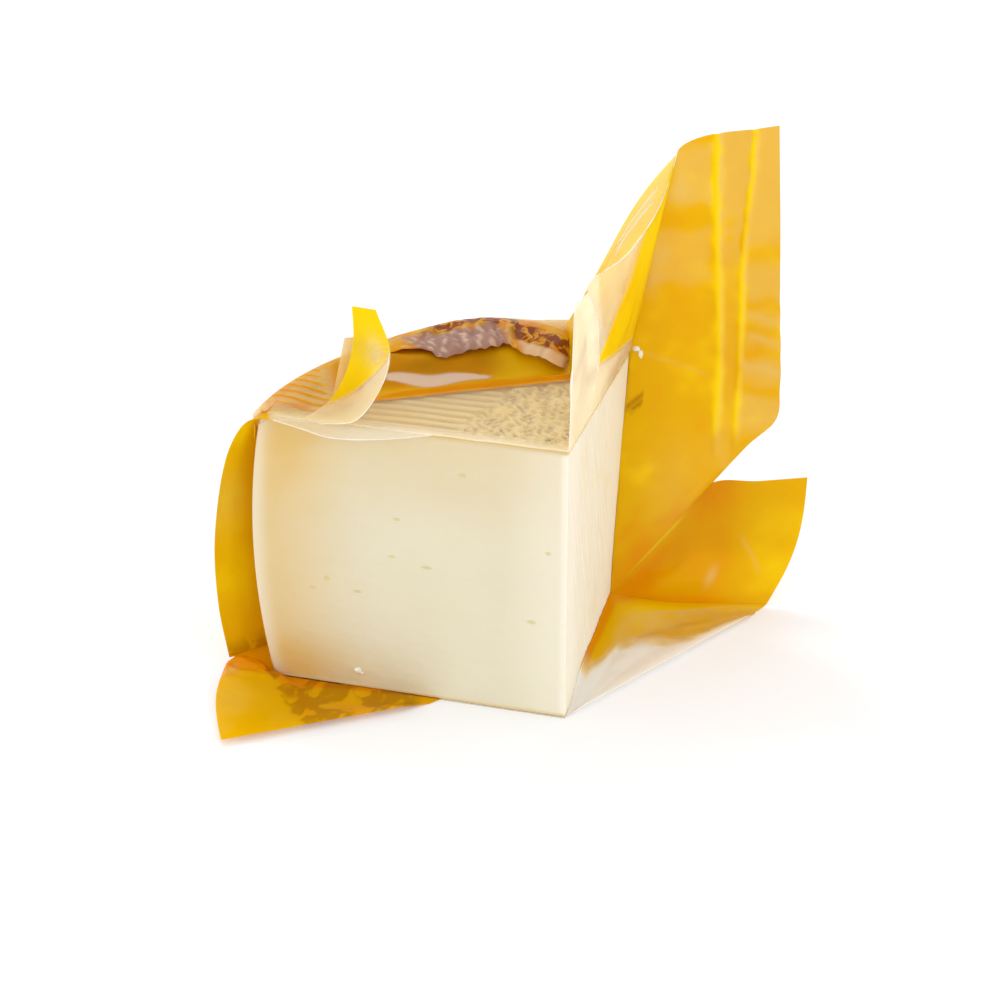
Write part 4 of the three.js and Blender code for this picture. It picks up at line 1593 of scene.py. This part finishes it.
    def cling_place(self, u: Array, v: Array) -> Array:
        """The film that still clings to the back part of the right cut face.

        Args:
            u: From 0 to 1 up the face.
            v: From 0 at the rim to 1 at the peel line.

        Returns:
            One point for each pair.
        """
        low = 0.3
        far = Curve(*[(FILM.side, WEDGE.radius(height) + 0.2, height)
                      for height in (low, 20, 38, 55, FILM.top - 5)])
        near = Curve((FILM.side, 44, low), *[self.peel_line.at(part)[0] + (0.4, 0.0, 0.0)
                                            for part in (0.05, 0.25, 0.5, 0.75, 1)])
        return ruled(far, near)(u, v)

    @staticmethod
    def cling_marks(u: Array, v: Array, spots: Array) -> Marks:
        """How the clinging film is printed."""
        return {Mark.INK: 1.0, Mark.WARM: 0.4}

    @staticmethod
    def rib_lines(z: Array) -> tuple[Array, Array]:
        """The x of the two sealing ribs of the sail at each height."""
        return 21.8 - 1.9 * smooth(z, 56, 118), 26.5 + 1.8 * smooth(z, 92, 132)

    def sail_place(self, u: Array, v: Array) -> Array:
        """The tall sail, softly billowed, with two upright ribs.

        Args:
            u: From 0 to 1 up the sail.
            v: From 0 to 1 across it, from the peel line to the free edge.

        Returns:
            One point for each pair.
        """
        left = Curve(*[self.peel_line.at(part)[0] for part in (0, 0.3, 0.6, 1)],
                     (self.crease_foot + self.apex) / 2, self.apex)
        reach = FILM.sail_reach
        right = Curve(FILM.sail_corner, (29.4, 68, 45.7), (reach - 0.6, 68, 54), (reach, 68, 62),
                      (reach - 1.5, 67.6, 96), (reach - 3.2, 67, FILM.sail_top))
        spots = ruled(left, right)(u, v)
        edge = 2.4 * np.sin(math.pi * np.sqrt(v)) * np.maximum(0, 4 * u - 3)
        x, z = spots[:, 0], spots[:, 2]
        billow = 2.5 * np.sin(math.pi * u) * np.sin(math.pi * v)
        waves = 0.7 * ripple(x, 0.55 * z, 1.7, 30.0) * smooth(v, 0.0, 0.25) * smooth(u, 0.0, 0.15)
        first, second = self.rib_lines(z)
        ribs = (0.55 * bell(x, first, 0.8) + 0.5 * bell(x, second, 0.8)) * smooth(z, 40, 48)
        rows = 0.35 * smooth(x, 21.5, 24) * np.sin(z * 2 * math.pi / 9.0 + 1.2 * np.sin(z / 13.0))
        spots[:, 1] += billow + waves - ribs + rows * band(z, 48, 56, 84, 96)
        spots[:, 2] += edge
        return spots

    def haze_and_highlights(self, spots: Array) -> Array:
        """Where the sail is pale: painted highlights on the patches where its layers stick together, on its
        ripples and beside its ribs.

        Args:
            spots: The sail's points.

        Returns:
            The milkiness and the painted highlights at each point.
        """
        x, _, z = spots.T
        first, second = self.rib_lines(z)
        x = x + 0.9 * ripple(x, z, 9.1, 12.0)
        z = z + 1.1 * ripple(x, z, 4.1, 10.0)
        top = 0.55 * band(x, 8.0, 11.0, first - 1.6, first - 0.6) * band(z, 109.5, 112.0, 124.0, 128.0)
        top = top + 0.35 * bell(x, 10.8, 2.2) * bell(z, 114.7, 3.0)
        middle = 0.38 * band(x, 3.0, 6.0, first - 3.0, first - 1.0) * band(z, 88.0, 92.0, 103.0, 105.0)
        middle = middle + 0.35 * bell(x, 6.5, 2.6) * bell(z, 98.0, 3.0)
        middle = middle + 0.4 * bell(x, 5.2, 2.2) * bell(z, 91.0, 3.4)
        low = 0.22 * bell(x, 13.0, 6.0) * bell(z, 36.0, 12.0) + 0.2 * bell(x, 23, 4) * bell(z, 45, 6)
        between = band(x, first + 0.4, first + 1.2, second - 1.2, second - 0.4)
        between = between * (0.42 * smooth(z, 88.0, 106.0) + 0.12)
        between = between * (1 - 0.8 * bell(x, 23.2, 1.4) * (bell(z, 107.0, 1.5) + bell(z, 102.2, 1.5)))
        dark = sum(bell(z, level, 2.2) for level in (84.8, 78.6, 72.0, 61.8)) + bell(z, 98.5, 3.0)
        right = smooth(x, second + 0.5, second + 1.6) * (0.56 - 0.5 * np.clip(dark, 0, 1))
        right = right * smooth(z, 46.0, 54.0)
        streaks = sum(bell(z + 0.25 * (x - 31.0), level, 1.0) for level in (81.4, 75.6, 68.0))
        right = right + 0.4 * smooth(x, second + 0.8, second + 2.0) * streaks
        lines = 0.4 * bell(spots[:, 0], first + 0.75, 0.5) + 0.35 * bell(spots[:, 0], second + 0.7, 0.45)
        return top + middle + low + between + right + lines * smooth(z, 44, 52)

    def sail_marks(self, u: Array, v: Array, spots: Array) -> Marks:
        """How the sail is printed, with one small brown stroke beside the cheese, painted highlights and
        painted shade low down.

        Args:
            u: From 0 to 1 up the sail; not used.
            v: From 0 to 1 across it; not used.
            spots: Its points.

        Returns:
            The values of each mark.
        """
        x, _, z = spots.T
        first, second = self.rib_lines(z)
        seam = 0.3 * bell(z, 72.4 - 0.4 * x, 0.4) * band(x, 3.0, 5.0, 17.0, 20.0)
        ribs = (bell(x, first, 1.3) + 0.8 * bell(x, second + 0.2, 1.1)) * smooth(z, 44, 54)
        mottled = 0.12 * ripple(x, z, 2.5, 24.0) + 0.1 * ripple(x, z, 7.5, 9.0)
        across = (z - 59.3) - 0.84 * (x - 3.3)
        return {
            Mark.INK: 1.0,
            Mark.HAZE: np.clip(self.haze_and_highlights(spots) + seam, 0, 0.95),
            # Painted shade as deeper orange low down, and the ribs painted brighter as highlights.
            Mark.WARM: 0.45 + 0.4 * fall(z, 16, 44) + mottled - 0.42 * ribs,
            Mark.MOTIF: 0.5 * (bell(across, 1.0, 0.7) + bell(across, -0.9, 0.8)) * fall(x, 3.6, 4.3),
        }

    def build(self) -> list[bpy.types.Object]:
        """Makes the sheets."""
        return [sheet.build() for sheet in (
            Sheet("film_wall", self.wall_place, 130, 80, self.wall_marks),
            Sheet("film_back_layer", self.back_place, 120, 60, self.back_marks),
            Sheet("film_rear_layer", self.rear_place, 50, 50, self.rear_marks),
            Sheet("film_cling", self.cling_place, 60, 40, self.cling_marks),
            Sheet("film_sail", self.sail_place, 130, 90, self.sail_marks))]

    def wall_spot(self, u: float, v: float) -> Array:
        """One point of the wall."""
        return self.wall_place(np.full(1, u), np.full(1, v))[0]

    def edges(self) -> list[bpy.types.Object]:
        """The wall's cut edges and creases, as beads that carry their painted white highlight.

        Returns:
            The beads.
        """
        front = Curve((FILM.side, -0.3, FILM.top),
                      *[self.wall_spot(0.0, part) for part in (0.25, 0.5, 0.75, 1.0)])
        top = Curve(*[self.wall_spot(part, 1.0) + (0.1, -0.2, 0.05) for part in np.linspace(0, 1, 14)])
        fold = Curve(*[self.wall_spot(self.wall_fold(part), part) + (0.1, -0.1, 0)
                       for part in (0.94, 0.87, 0.8, 0.65, 0.5, 0.4, 0.3)])
        return [fold_edge("wall_front_edge", front, 0.42), fold_edge("wall_top_edge", top, 0.36),
                fold_edge("wall_fold", fold, 0.3)]


@dataclass
class RightFlap:
    """The lower flap and the film on the ground at the right."""

    floor_corner: Spot = (34.3, 63.6, 0.15)
    fold_end: Spot = (36.5, 68.0, 1.0)
    lying_from: float = 0.42  # the part of the floor's film that comes down, before it lies flat
    # The x and y of the soft line behind which the film on the ground is printed.
    border: tuple[tuple[float, float], ...] = (
        (-2.0, 17.0), (1.1, 19.2), (4.2, 36.5), (9.4, 43.3), (16.2, 43.5), (22.0, 45.8), (28.4, 56.6),
        (36.0, 64.0))

    def flap_place(self, u: Array, v: Array) -> Array:
        """The flap between the fold on the ground and its free edge, with a few soft dents.

        Args:
            u: From 0 to 1 along the fold, from the cheese.
            v: From 0 to 1 up the flap.

        Returns:
            One point for each pair.
        """
        heel, corner = np.array(FILM.heel), np.array(FILM.sail_corner)
        fold = Curve(heel, (6, 52, 5.8), (12.5, 58, 3.2), (22, 63, 1.4), self.fold_end)
        top = Curve(heel + (0, 0.4, 0.6), heel * 0.67 + corner * 0.33, heel * 0.34 + corner * 0.66, corner,
                    (32, 72, 34.2), (FILM.flap_reach, 76, 35))
        spots = ruled(fold, top)(u, v)
        belly = np.sin(math.pi * v) * u * u
        dents = np.sin(math.pi * np.clip(v, 0, 1)) * smooth(u, 0.1, 0.4)
        spots += belly[:, None] * np.array([2.2, 1.5, -1.5])
        spots[:, 1] += 0.9 * dents * ripple(46 * u, 30 * v, 4.2, 19.0)
        spots[:, 1] -= 1.3 * bell(u, 0.62, 0.08) * bell(v, 0.25, 0.16)
        spots[:, 1] += 0.9 * bell(u, 0.86, 0.04) * bell(v, 0.45, 0.3)
        return spots

    @staticmethod
    def flap_marks(u: Array, v: Array, spots: Array) -> Marks:
        """How the lower flap is printed, where it is painted darker as shade, and where painted highlights
        mark its dents and its crease.

        Args:
            u: From 0 to 1 along the fold, from the cheese.
            v: From 0 to 1 up the flap.
            spots: Its points; not used.

        Returns:
            The values of each mark.
        """
        # Painted shade as deeper orange near the cheese and along the fold, lighter towards the free end.
        deep = 0.66 + 0.4 * bell(u, 0.2, 0.2) * bell(v, 0.4, 0.45) + 0.2 * fall(v, 0.02, 0.13)
        deep = deep - 0.36 * smooth(u + 0.12 * v, 0.74, 0.98)
        deep = deep + 0.2 * smooth(v, 0.6, 0.95) * smooth(u, 0.45, 0.6)
        crease = 0.35 * bell(u - 0.38 * (0.55 - v), 0.79, 0.009) * band(v, 0.24, 0.3, 0.54, 0.62)
        dent = 0.8 * bell(u, 0.70, 0.025) * bell(v, 0.24, 0.08)
        return {
            Mark.INK: 1.0,
            # Painted shade in the middle of the flap's upper part.
            Mark.DOUBLE: 0.2 * bell(u, 0.6, 0.3) * smooth(v, 0.3, 0.6),
            Mark.WARM: (1 - 0.6 * smooth(v, 0.9, 0.96) * fall(u, 0.4, 0.5)) * np.clip(deep, 0, 1),
            Mark.HAZE: dent + crease + 0.2 * bell(v, 0.97, 0.03) * fall(u, 0.35, 0.5),
        }

    def floor_place(self, u: Array, v: Array) -> Array:
        """The film that comes down from the cheese's foot and lies flat out to its free edge.

        Args:
            u: From 0 to 1 along the cheese's foot, from its tip.
            v: From 0 at the foot to 1 at the free edge.

        Returns:
            One point for each pair.
        """
        ground = FILM.ground
        raised = Curve((0.0, 0.6, 0.4), (0.0, 6, 1.4), (0.05, 15, 6), (0.05, 31, 8.6), (0.1, 40, 10.2),
                       np.array(FILM.heel) + (0.3, 0, 0), (12.5, 58, 3.2), self.fold_end)
        landing = Curve((1.4, 3, ground), (3, 14, ground), (5, 28, ground), (8, 41, ground), (19, 53, ground),
                        (34.2, 64.4, ground))
        edge = Curve((-0.2, 0.0, ground), self.floor_corner)
        first, second, third = raised.at(u), landing.at(u), edge.at(u)
        rise = np.clip(v / self.lying_from, 0, 1)[:, None]
        lie = np.clip((v - self.lying_from) / (1 - self.lying_from), 0, 1)[:, None]
        spots = first + (second - first) * rise + (third - second) * lie
        spots[:, 2] = ground + (first[:, 2] - ground) * (1 - rise[:, 0]) ** 1.9
        loose = band(u, 0.2, 0.5, 0.9, 1.0) * bell(v, 0.55, 0.22)
        spots[:, 2] += 0.5 * loose * np.clip(1 + ripple(spots[:, 0], spots[:, 1], 2.8, 15.0), 0, None)
        curl = FILM.curl * smooth(v, 0.66, 1.0) * band(u, 0.0, 0.12, 0.94, 1.0)
        return spots + curl[:, None] * CURL_LEAN

    def floor_marks(self, u: Array, v: Array, spots: Array) -> Marks:
        """How the film on the ground is printed: yellow at the back, milky clear at the front.

        Args:
            u: From 0 to 1 along the cheese's foot, from its tip.
            v: From 0 at the foot to 1 at the free edge.
            spots: Its points.

        Returns:
            The values of each mark.
        """
        x, y, _ = spots.T
        line_x, line_y = np.array(self.border).T
        behind = y - np.interp(x, line_x, line_y) + 0.8 * ripple(x, y, 6.6, 9.0)
        ink = smooth(behind, -6.0, 3.0) ** 1.3
        pale = 0.6 * smooth(v, 0.1, 0.2) * smooth(x, 1.0, 5.0) * (0.85 + 0.4 * ripple(x, y, 3.4, 9.0))
        streak = np.interp(u, [0.75, 0.88, 0.96], [0.18, 0.16, 0.07])
        # A painted highlight streak near the far end of the foot.
        pale = pale + 0.55 * bell(v, streak, 0.02) * band(u, 0.75, 0.78, 0.96, 1.0)
        clear = 0.72 + 0.12 * smooth(v, 0.5, 1.0)
        # Painted shade as deeper orange where the film comes down beside the cheese and along the fold.
        deep = 0.35 + 0.15 * fall(u, 0.6, 0.75) + 0.2 * bell(behind, -1.0, 1.4)
        deep = deep + 0.6 * fall(v, 0.02, 0.11) * (1 - 0.7 * smooth(u, 0.76, 0.82))
        return {Mark.INK: ink, Mark.HAZE: clear * (1 - ink * ink) + pale * ink,
                Mark.WARM: deep * smooth(ink, 0.0, 0.3)}

    def build(self) -> list[bpy.types.Object]:
        """Makes the sheets."""
        return [Sheet("film_lower_flap", self.flap_place, 110, 70, self.flap_marks).build(),
                Sheet("film_floor", self.floor_place, 110, 60, self.floor_marks).build()]


@dataclass
class LeftFlap:
    """The upright flap, the flap on the ground and the pocket between them at the left."""

    pocket_top: Spot = (-84.0, -0.5, 4.2)

    @staticmethod
    def on_rim(degrees: float, height: float) -> Spot:
        """A point on the film round the rim."""
        radius, turn = WEDGE.radius(height) + FILM.rim_gap, math.radians(degrees)
        return -radius * math.cos(turn), radius * math.sin(turn), height

    def flap_place(self, u: Array, v: Array) -> Array:
        """The upright flap beside the front cut.

        Args:
            u: From 0 to 1 up the flap.
            v: From 0 at the rim to 1 at the free edge.

        Returns:
            One point for each pair.
        """
        shoulder = WEDGE.rim(FILM.rim_gap, 5, 3)[-3:]
        start = FILM.flap_start
        root = Curve(self.on_rim(start, 3), self.on_rim(start, 20), self.on_rim(start, 45),
                     self.on_rim(start - 2, 60), self.on_rim(2, FILM.top - 6),
                     (-shoulder[0, 0] - 0.2, 0.2, shoulder[0, 1]),
                     (-shoulder[1, 0], 0.2, shoulder[1, 1] + 0.3), (-shoulder[2, 0], 0.2, FILM.top))
        edge = Curve((-86.3, -0.5, 3.6), (-88.4, -0.5, 18), (-88.4, -0.5, 37), (-84, -0.5, 60),
                     (-79, -1.2, FILM.top - 3), (-75, -2.2, FILM.top - 0.6), (-71, -2.6, FILM.top - 0.2))
        spots = ruled(root, edge)(u, v)
        bend = np.sin(math.pi * np.clip(v, 0, 1)) * fall(u, 0.6, 0.85)
        spots[:, 1] += 0.7 * bend * ripple(70 * u, 12 * v, 3.0, 24.0)
        spots[:, 0] -= 0.3 * bend * np.sin(math.pi * v)
        return spots

    @staticmethod
    def flap_marks(u: Array, v: Array, spots: Array) -> Marks:
        """How the upright flap is printed.

        Args:
            u: From 0 to 1 up the flap.
            v: From 0 at the rim to 1 at the free edge.
            spots: Its points.

        Returns:
            The values of each mark.
        """
        z = spots[:, 2]
        return {
            Mark.INK: 1.0 - 0.5 * smooth(u, 0.93, 1.0),
            Mark.WARM: 0.27 + 0.2 * fall(z, 6, 24) + 0.4 * fall(v, 0.1, 0.6) * fall(u, 0.8, 0.95),
            # A little painted shade over the whole flap.
            Mark.DOUBLE: 0.2,
            Mark.CRIMP: bell(z, 46, 8) * smooth(v, 0.2, 0.7),
            Mark.MOTIF: 0.3 * fall(z, 5, 9),
        }

    def ground_place(self, u: Array, v: Array) -> Array:
        """The flap on the ground, with a crumpled, glossy root.

        Args:
            u: From 0 to 1 along the front cut, to the left.
            v: From 0 at the cheese to 1 at the free edge.

        Returns:
            One point for each pair.
        """
        ground = FILM.ground
        inner = Curve((-31, 1, ground), (-55, 1, ground), (-74.5, 0.8, ground), (-79, 1.5, 2.4),
                      self.pocket_top, (-86, -3.1, 3.4))
        front = Curve((-33.5, -2.5, ground), (-75.8, -32.7, ground))
        spots = ruled(inner, front)(u, v)
        spots[:, 0] -= 2.2 * np.sin(math.pi * v) * u ** 6
        root = band(u, 0.3, 0.6, 0.95, 1.0) * bell(v, 0.14, 0.12)
        spots[:, 2] += 0.9 * root * np.clip(1 + ripple(spots[:, 0], 2 * spots[:, 1], 7.0, 9.0), 0, None)
        belly = np.sin(math.pi * v) * smooth(u, 0.1, 0.5)
        swell = np.clip(1 + ripple(spots[:, 0], spots[:, 1], 1.5, 18.0), 0, None)
        spots[:, 2] += 0.35 * belly * swell * fall(v, 0.7, 1.0)
        curl = FILM.curl * smooth(v, 0.7, 1.0) * smooth(u, 0.0, 0.15)
        spots[:, 2] = np.maximum(spots[:, 2], ground)
        return spots + curl[:, None] * CURL_LEAN

    @staticmethod
    def ground_marks(u: Array, v: Array, spots: Array) -> Marks:
        """How the flap on the ground is printed, with loose brown petals at its root and a painted glare near
        its root at the left.

        Args:
            u: From 0 to 1 along the front cut, to the left.
            v: From 0 at the cheese to 1 at the free edge.
            spots: Its points.

        Returns:
            The values of each mark.
        """
        petals = fall(u + 0.03 * ripple(60 * u, 40 * v, 1.0, 8.0), 0.6, 0.63) * smooth(u, 0.03, 0.08)
        return {
            Mark.INK: 1.0,
            Mark.WARM: 0.46 + 0.5 * fall(v, 0.12, 0.34) + 0.22 * fall(u, 0.55, 0.65),
            Mark.CRIMP: bell(spots[:, 0], -80, 5) * bell(spots[:, 1], -17, 7),
            Mark.HAZE: 0.65 * bell(v, 0.17, 0.045) * smooth(u, 0.78, 0.86),
            Mark.MOTIF: 0.34 * petals * smooth(v, 0.05, 0.1),
        }

    def pocket_place(self, u: Array, v: Array) -> Array:
        """Joins the upright flap to the flap on the ground."""
        low = Curve((-74.5, 0.8, FILM.ground), (-79, 1.5, 2.4), self.pocket_top)
        high = Curve(self.on_rim(FILM.flap_start, 3.4), (-81.5, 5.5, 3.8), (-86.3, -0.5, 4))
        return ruled(low, high)(u, v)

    @staticmethod
    def pocket_marks(u: Array, v: Array, spots: Array) -> Marks:
        """How the pocket is printed."""
        return {Mark.INK: 1.0, Mark.WARM: 0.75}

    def build(self) -> list[bpy.types.Object]:
        """Makes the sheets."""
        return [sheet.build() for sheet in (
            Sheet("film_left_flap", self.flap_place, 110, 24, self.flap_marks),
            Sheet("film_ground_flap", self.ground_place, 110, 60, self.ground_marks),
            Sheet("film_pocket", self.pocket_place, 30, 16, self.pocket_marks))]

    @staticmethod
    def edges() -> list[bpy.types.Object]:
        """The front edge over the shoulder and along the lip, with its painted white highlight.

        Returns:
            The bead.
        """
        top = FILM.top
        shoulder = Curve((-71, -2.8, top - 0.2), (-64, -3.1, top - 1.4), (-57, -3.1, top - 2.8),
                         (-46, -2.9, top - 2), (-33, -1.1, top - 0.1))
        return [fold_edge("lip_edge", shoulder, 0.28)]


@dataclass
class Tongue:
    """The torn tongue near the front left corner, and the torn layer behind it."""

    left: Curve = field(default_factory=lambda: Curve(
        (-64, -0.4, FILM.top), (-59.1, 4, 75.5), (-56.3, 8, 81.3), (-55.4, 11, 88.4), (-56.5, 14, 95.7)))
    right: Curve = field(default_factory=lambda: Curve(
        (-60, -1.6, FILM.top - 0.4), (-51, -1, 73.6), (-45.3, 3, 82.5), (-45, 7, 88.3), (-50, 12, 96.3)))

    @staticmethod
    def swelled(first: Curve, second: Curve, u: Array, v: Array, way: Spot) -> Array:
        """A ruled surface whose middle swells.

        Args:
            first: The curve at v = 0.
            second: The curve at v = 1.
            u: From 0 to 1 along the curves.
            v: From 0 to 1 across them.
            way: How far the middle swells, along each axis.

        Returns:
            One point for each pair.
        """
        swell = np.sin(math.pi * u) * np.sin(math.pi * v)
        return ruled(first, second)(u, v) + swell[:, None] * np.array(way)

    def tongue_place(self, u: Array, v: Array) -> Array:
        """The tongue, dished a little along its middle."""
        return self.swelled(self.left, self.right, u, v, (0, 1.5, -1))

    def torn_place(self, u: Array, v: Array) -> Array:
        """The narrow torn layer behind the tongue."""
        foot = Curve((-60.5, 9, FILM.top), (-55, 11, FILM.top))
        end = Curve((-59, 15, 86.9), (-56.3, 15.5, 87.2))
        return self.swelled(foot, end, u, v, (0, -1, 0))

    @staticmethod
    def tongue_marks(u: Array, v: Array, spots: Array) -> Marks:
        """How the tongue is printed: yellow above a slanting line, milky and creamy below it, with a painted
        highlight across the print.

        Args:
            u: From 0 to 1 up the tongue.
            v: From 0 to 1 across it.
            spots: Its points; not used.

        Returns:
            The values of each mark.
        """
        printed = smooth(u - (0.2 + 0.52 * v), -0.04, 0.04)
        shine = 0.5 * bell(u - 0.62 - 0.1 * v, 0.0, 0.05) * smooth(v, 0.2, 0.9)
        return {
            Mark.INK: printed * (1 - 0.4 * bell(u, 0.7, 0.1) * bell(v, 0.6, 0.22)),
            Mark.HAZE: (0.32 + 0.12 * v) * (1 - printed) + shine * printed,
            Mark.CRIMP: bell(u, 0.72, 0.1),
            Mark.WARM: 0.8 - 0.55 * printed - 0.25 * smooth(u, 0.2, 0.7),
        }

    @staticmethod
    def torn_marks(u: Array, v: Array, spots: Array) -> Marks:
        """How the torn layer is printed."""
        return {Mark.INK: 0.6 + 0.2 * u, Mark.HAZE: 0.45 * (1 - u), Mark.WARM: 0.5}

    def build(self) -> list[bpy.types.Object]:
        """Makes the sheets."""
        return [Sheet("film_tongue", self.tongue_place, 90, 40, self.tongue_marks).build(),
                Sheet("film_torn_layer", self.torn_place, 30, 50, self.torn_marks).build()]

    def edges(self) -> list[bpy.types.Object]:
        """The tongue's cut edge with its painted white highlight, as a list of one bead."""
        return [fold_edge("tongue_edge", Curve(*self.right.points[:4]), 0.24)]


@dataclass
class FilmPack:
    """The whole opened pack of film."""

    wrap: TopWrap = field(default_factory=TopWrap)
    upright: UprightFilm = field(default_factory=UprightFilm)
    right: RightFlap = field(default_factory=RightFlap)
    left: LeftFlap = field(default_factory=LeftFlap)
    tongue: Tongue = field(default_factory=Tongue)

    def build(self, film: bpy.types.Material, edge: bpy.types.Material) -> None:
        """Makes every sheet and edge of the pack and fastens them.

        Args:
            film: The film's material.
            edge: The material of its cut edges.
        """
        for group in (self.wrap, self.upright, self.right, self.left, self.tongue):
            for sheet in group.build():
                finish_piece(sheet, film, "film")
        beads = self.upright.edges() + self.left.edges() + self.tongue.edges()
        finish_piece(join_pieces("film_cut_edges", beads), edge, "film")


# ---- The studio ----


@dataclass
class Studio:
    """The floor, the lights and the camera."""

    azimuth: float = 16.0
    elevation: float = 26.8
    distance: float = 0.607
    target: Spot = (0.0137, -0.030, 0.057)
    lens: float = 93.6
    floor: Colour = (0.79, 0.79, 0.81)
    floor_glow: float = 0.17
    sky: float = 1.03
    aim: Spot = (0.0, 0.0, 0.05)
    # The name, the place and the side in metres, and the power in watts of each soft light.
    lights: tuple[tuple[str, Spot, float, float], ...] = (
        ("key", (-0.4, 0.45, 0.95), 0.3, 2.0), ("side", (1.0, -0.5, 0.6), 0.25, 1.6),
        ("fill", (-1.3, -0.03, 0.3), 0.4, 4.0))

    def add_floor(self) -> None:
        """Lays a wide, plain, pale floor."""
        deselect_all()
        bpy.ops.mesh.primitive_plane_add(size=8.0)
        floor = bpy.context.object
        floor.name = "floor"
        material, wiring = new_material("pale_floor")
        shader = wiring.add("ShaderNodeBsdfPrincipled", {
            "Base Color": (*self.floor, 1.0), "Roughness": 0.9, "Specular IOR Level": 0.1,
            "Emission Color": (1.0, 1.0, 1.0, 1.0), "Emission Strength": self.floor_glow})
        wiring.add("ShaderNodeOutputMaterial", {"Surface": shader.outputs[0]})
        floor.data.materials.append(material)

    def add_light(self, name: str, place: Spot, size: float, power: float) -> None:
        """Adds one soft square light.

        Args:
            name: The light's name.
            place: Where it stands, in metres.
            size: Its side in metres.
            power: Its power in watts.
        """
        data = bpy.data.lights.new(name, "AREA")
        data.size, data.energy = size, power
        light = bpy.data.objects.new(name, data)
        light.location = place
        light.rotation_euler = (Vector(self.aim) - Vector(place)).to_track_quat("-Z", "Y").to_euler()
        bpy.context.scene.collection.objects.link(light)

    def add_camera(self) -> None:
        """Sets the camera up at the photograph's angle."""
        turn, rise = math.radians(self.azimuth), math.radians(self.elevation)
        back = Vector((math.sin(turn) * math.cos(rise), -math.cos(turn) * math.cos(rise), math.sin(rise)))
        data = bpy.data.cameras.new("camera")
        data.lens, data.sensor_width = self.lens, 36.0
        data.clip_start, data.clip_end = 0.01, 20.0
        camera = bpy.data.objects.new("camera", data)
        camera.location = Vector(self.target) + back * self.distance
        camera.rotation_euler = (-back).to_track_quat("-Z", "Y").to_euler()
        bpy.context.scene.collection.objects.link(camera)
        bpy.context.scene.camera = camera

    def build(self) -> None:
        """Sets up the whole studio."""
        self.add_floor()
        for light in self.lights:
            self.add_light(*light)
        world = bpy.data.worlds.new("studio")
        world.use_nodes = True
        sky = world.node_tree.nodes["Background"]
        sky.inputs["Color"].default_value = (1.0, 1.0, 1.0, 1.0)
        sky.inputs["Strength"].default_value = self.sky
        bpy.context.scene.world = world
        bpy.context.scene.view_settings.view_transform = "Standard"
        self.add_camera()


def main() -> None:
    """Builds the cheese, its pack and the studio."""
    logging.basicConfig(level=logging.INFO, format="%(name)s %(message)s")
    mottle, crimp, press = mottle_group(), crimp_group(), press_group()
    Cheese().build(CheeseFinish().build(mottle, press))
    FilmPack().build(FilmFinish().build(mottle, crimp, press), EdgeFinish().build(mottle))
    Studio().build()


if __name__ == "__main__":
    main()
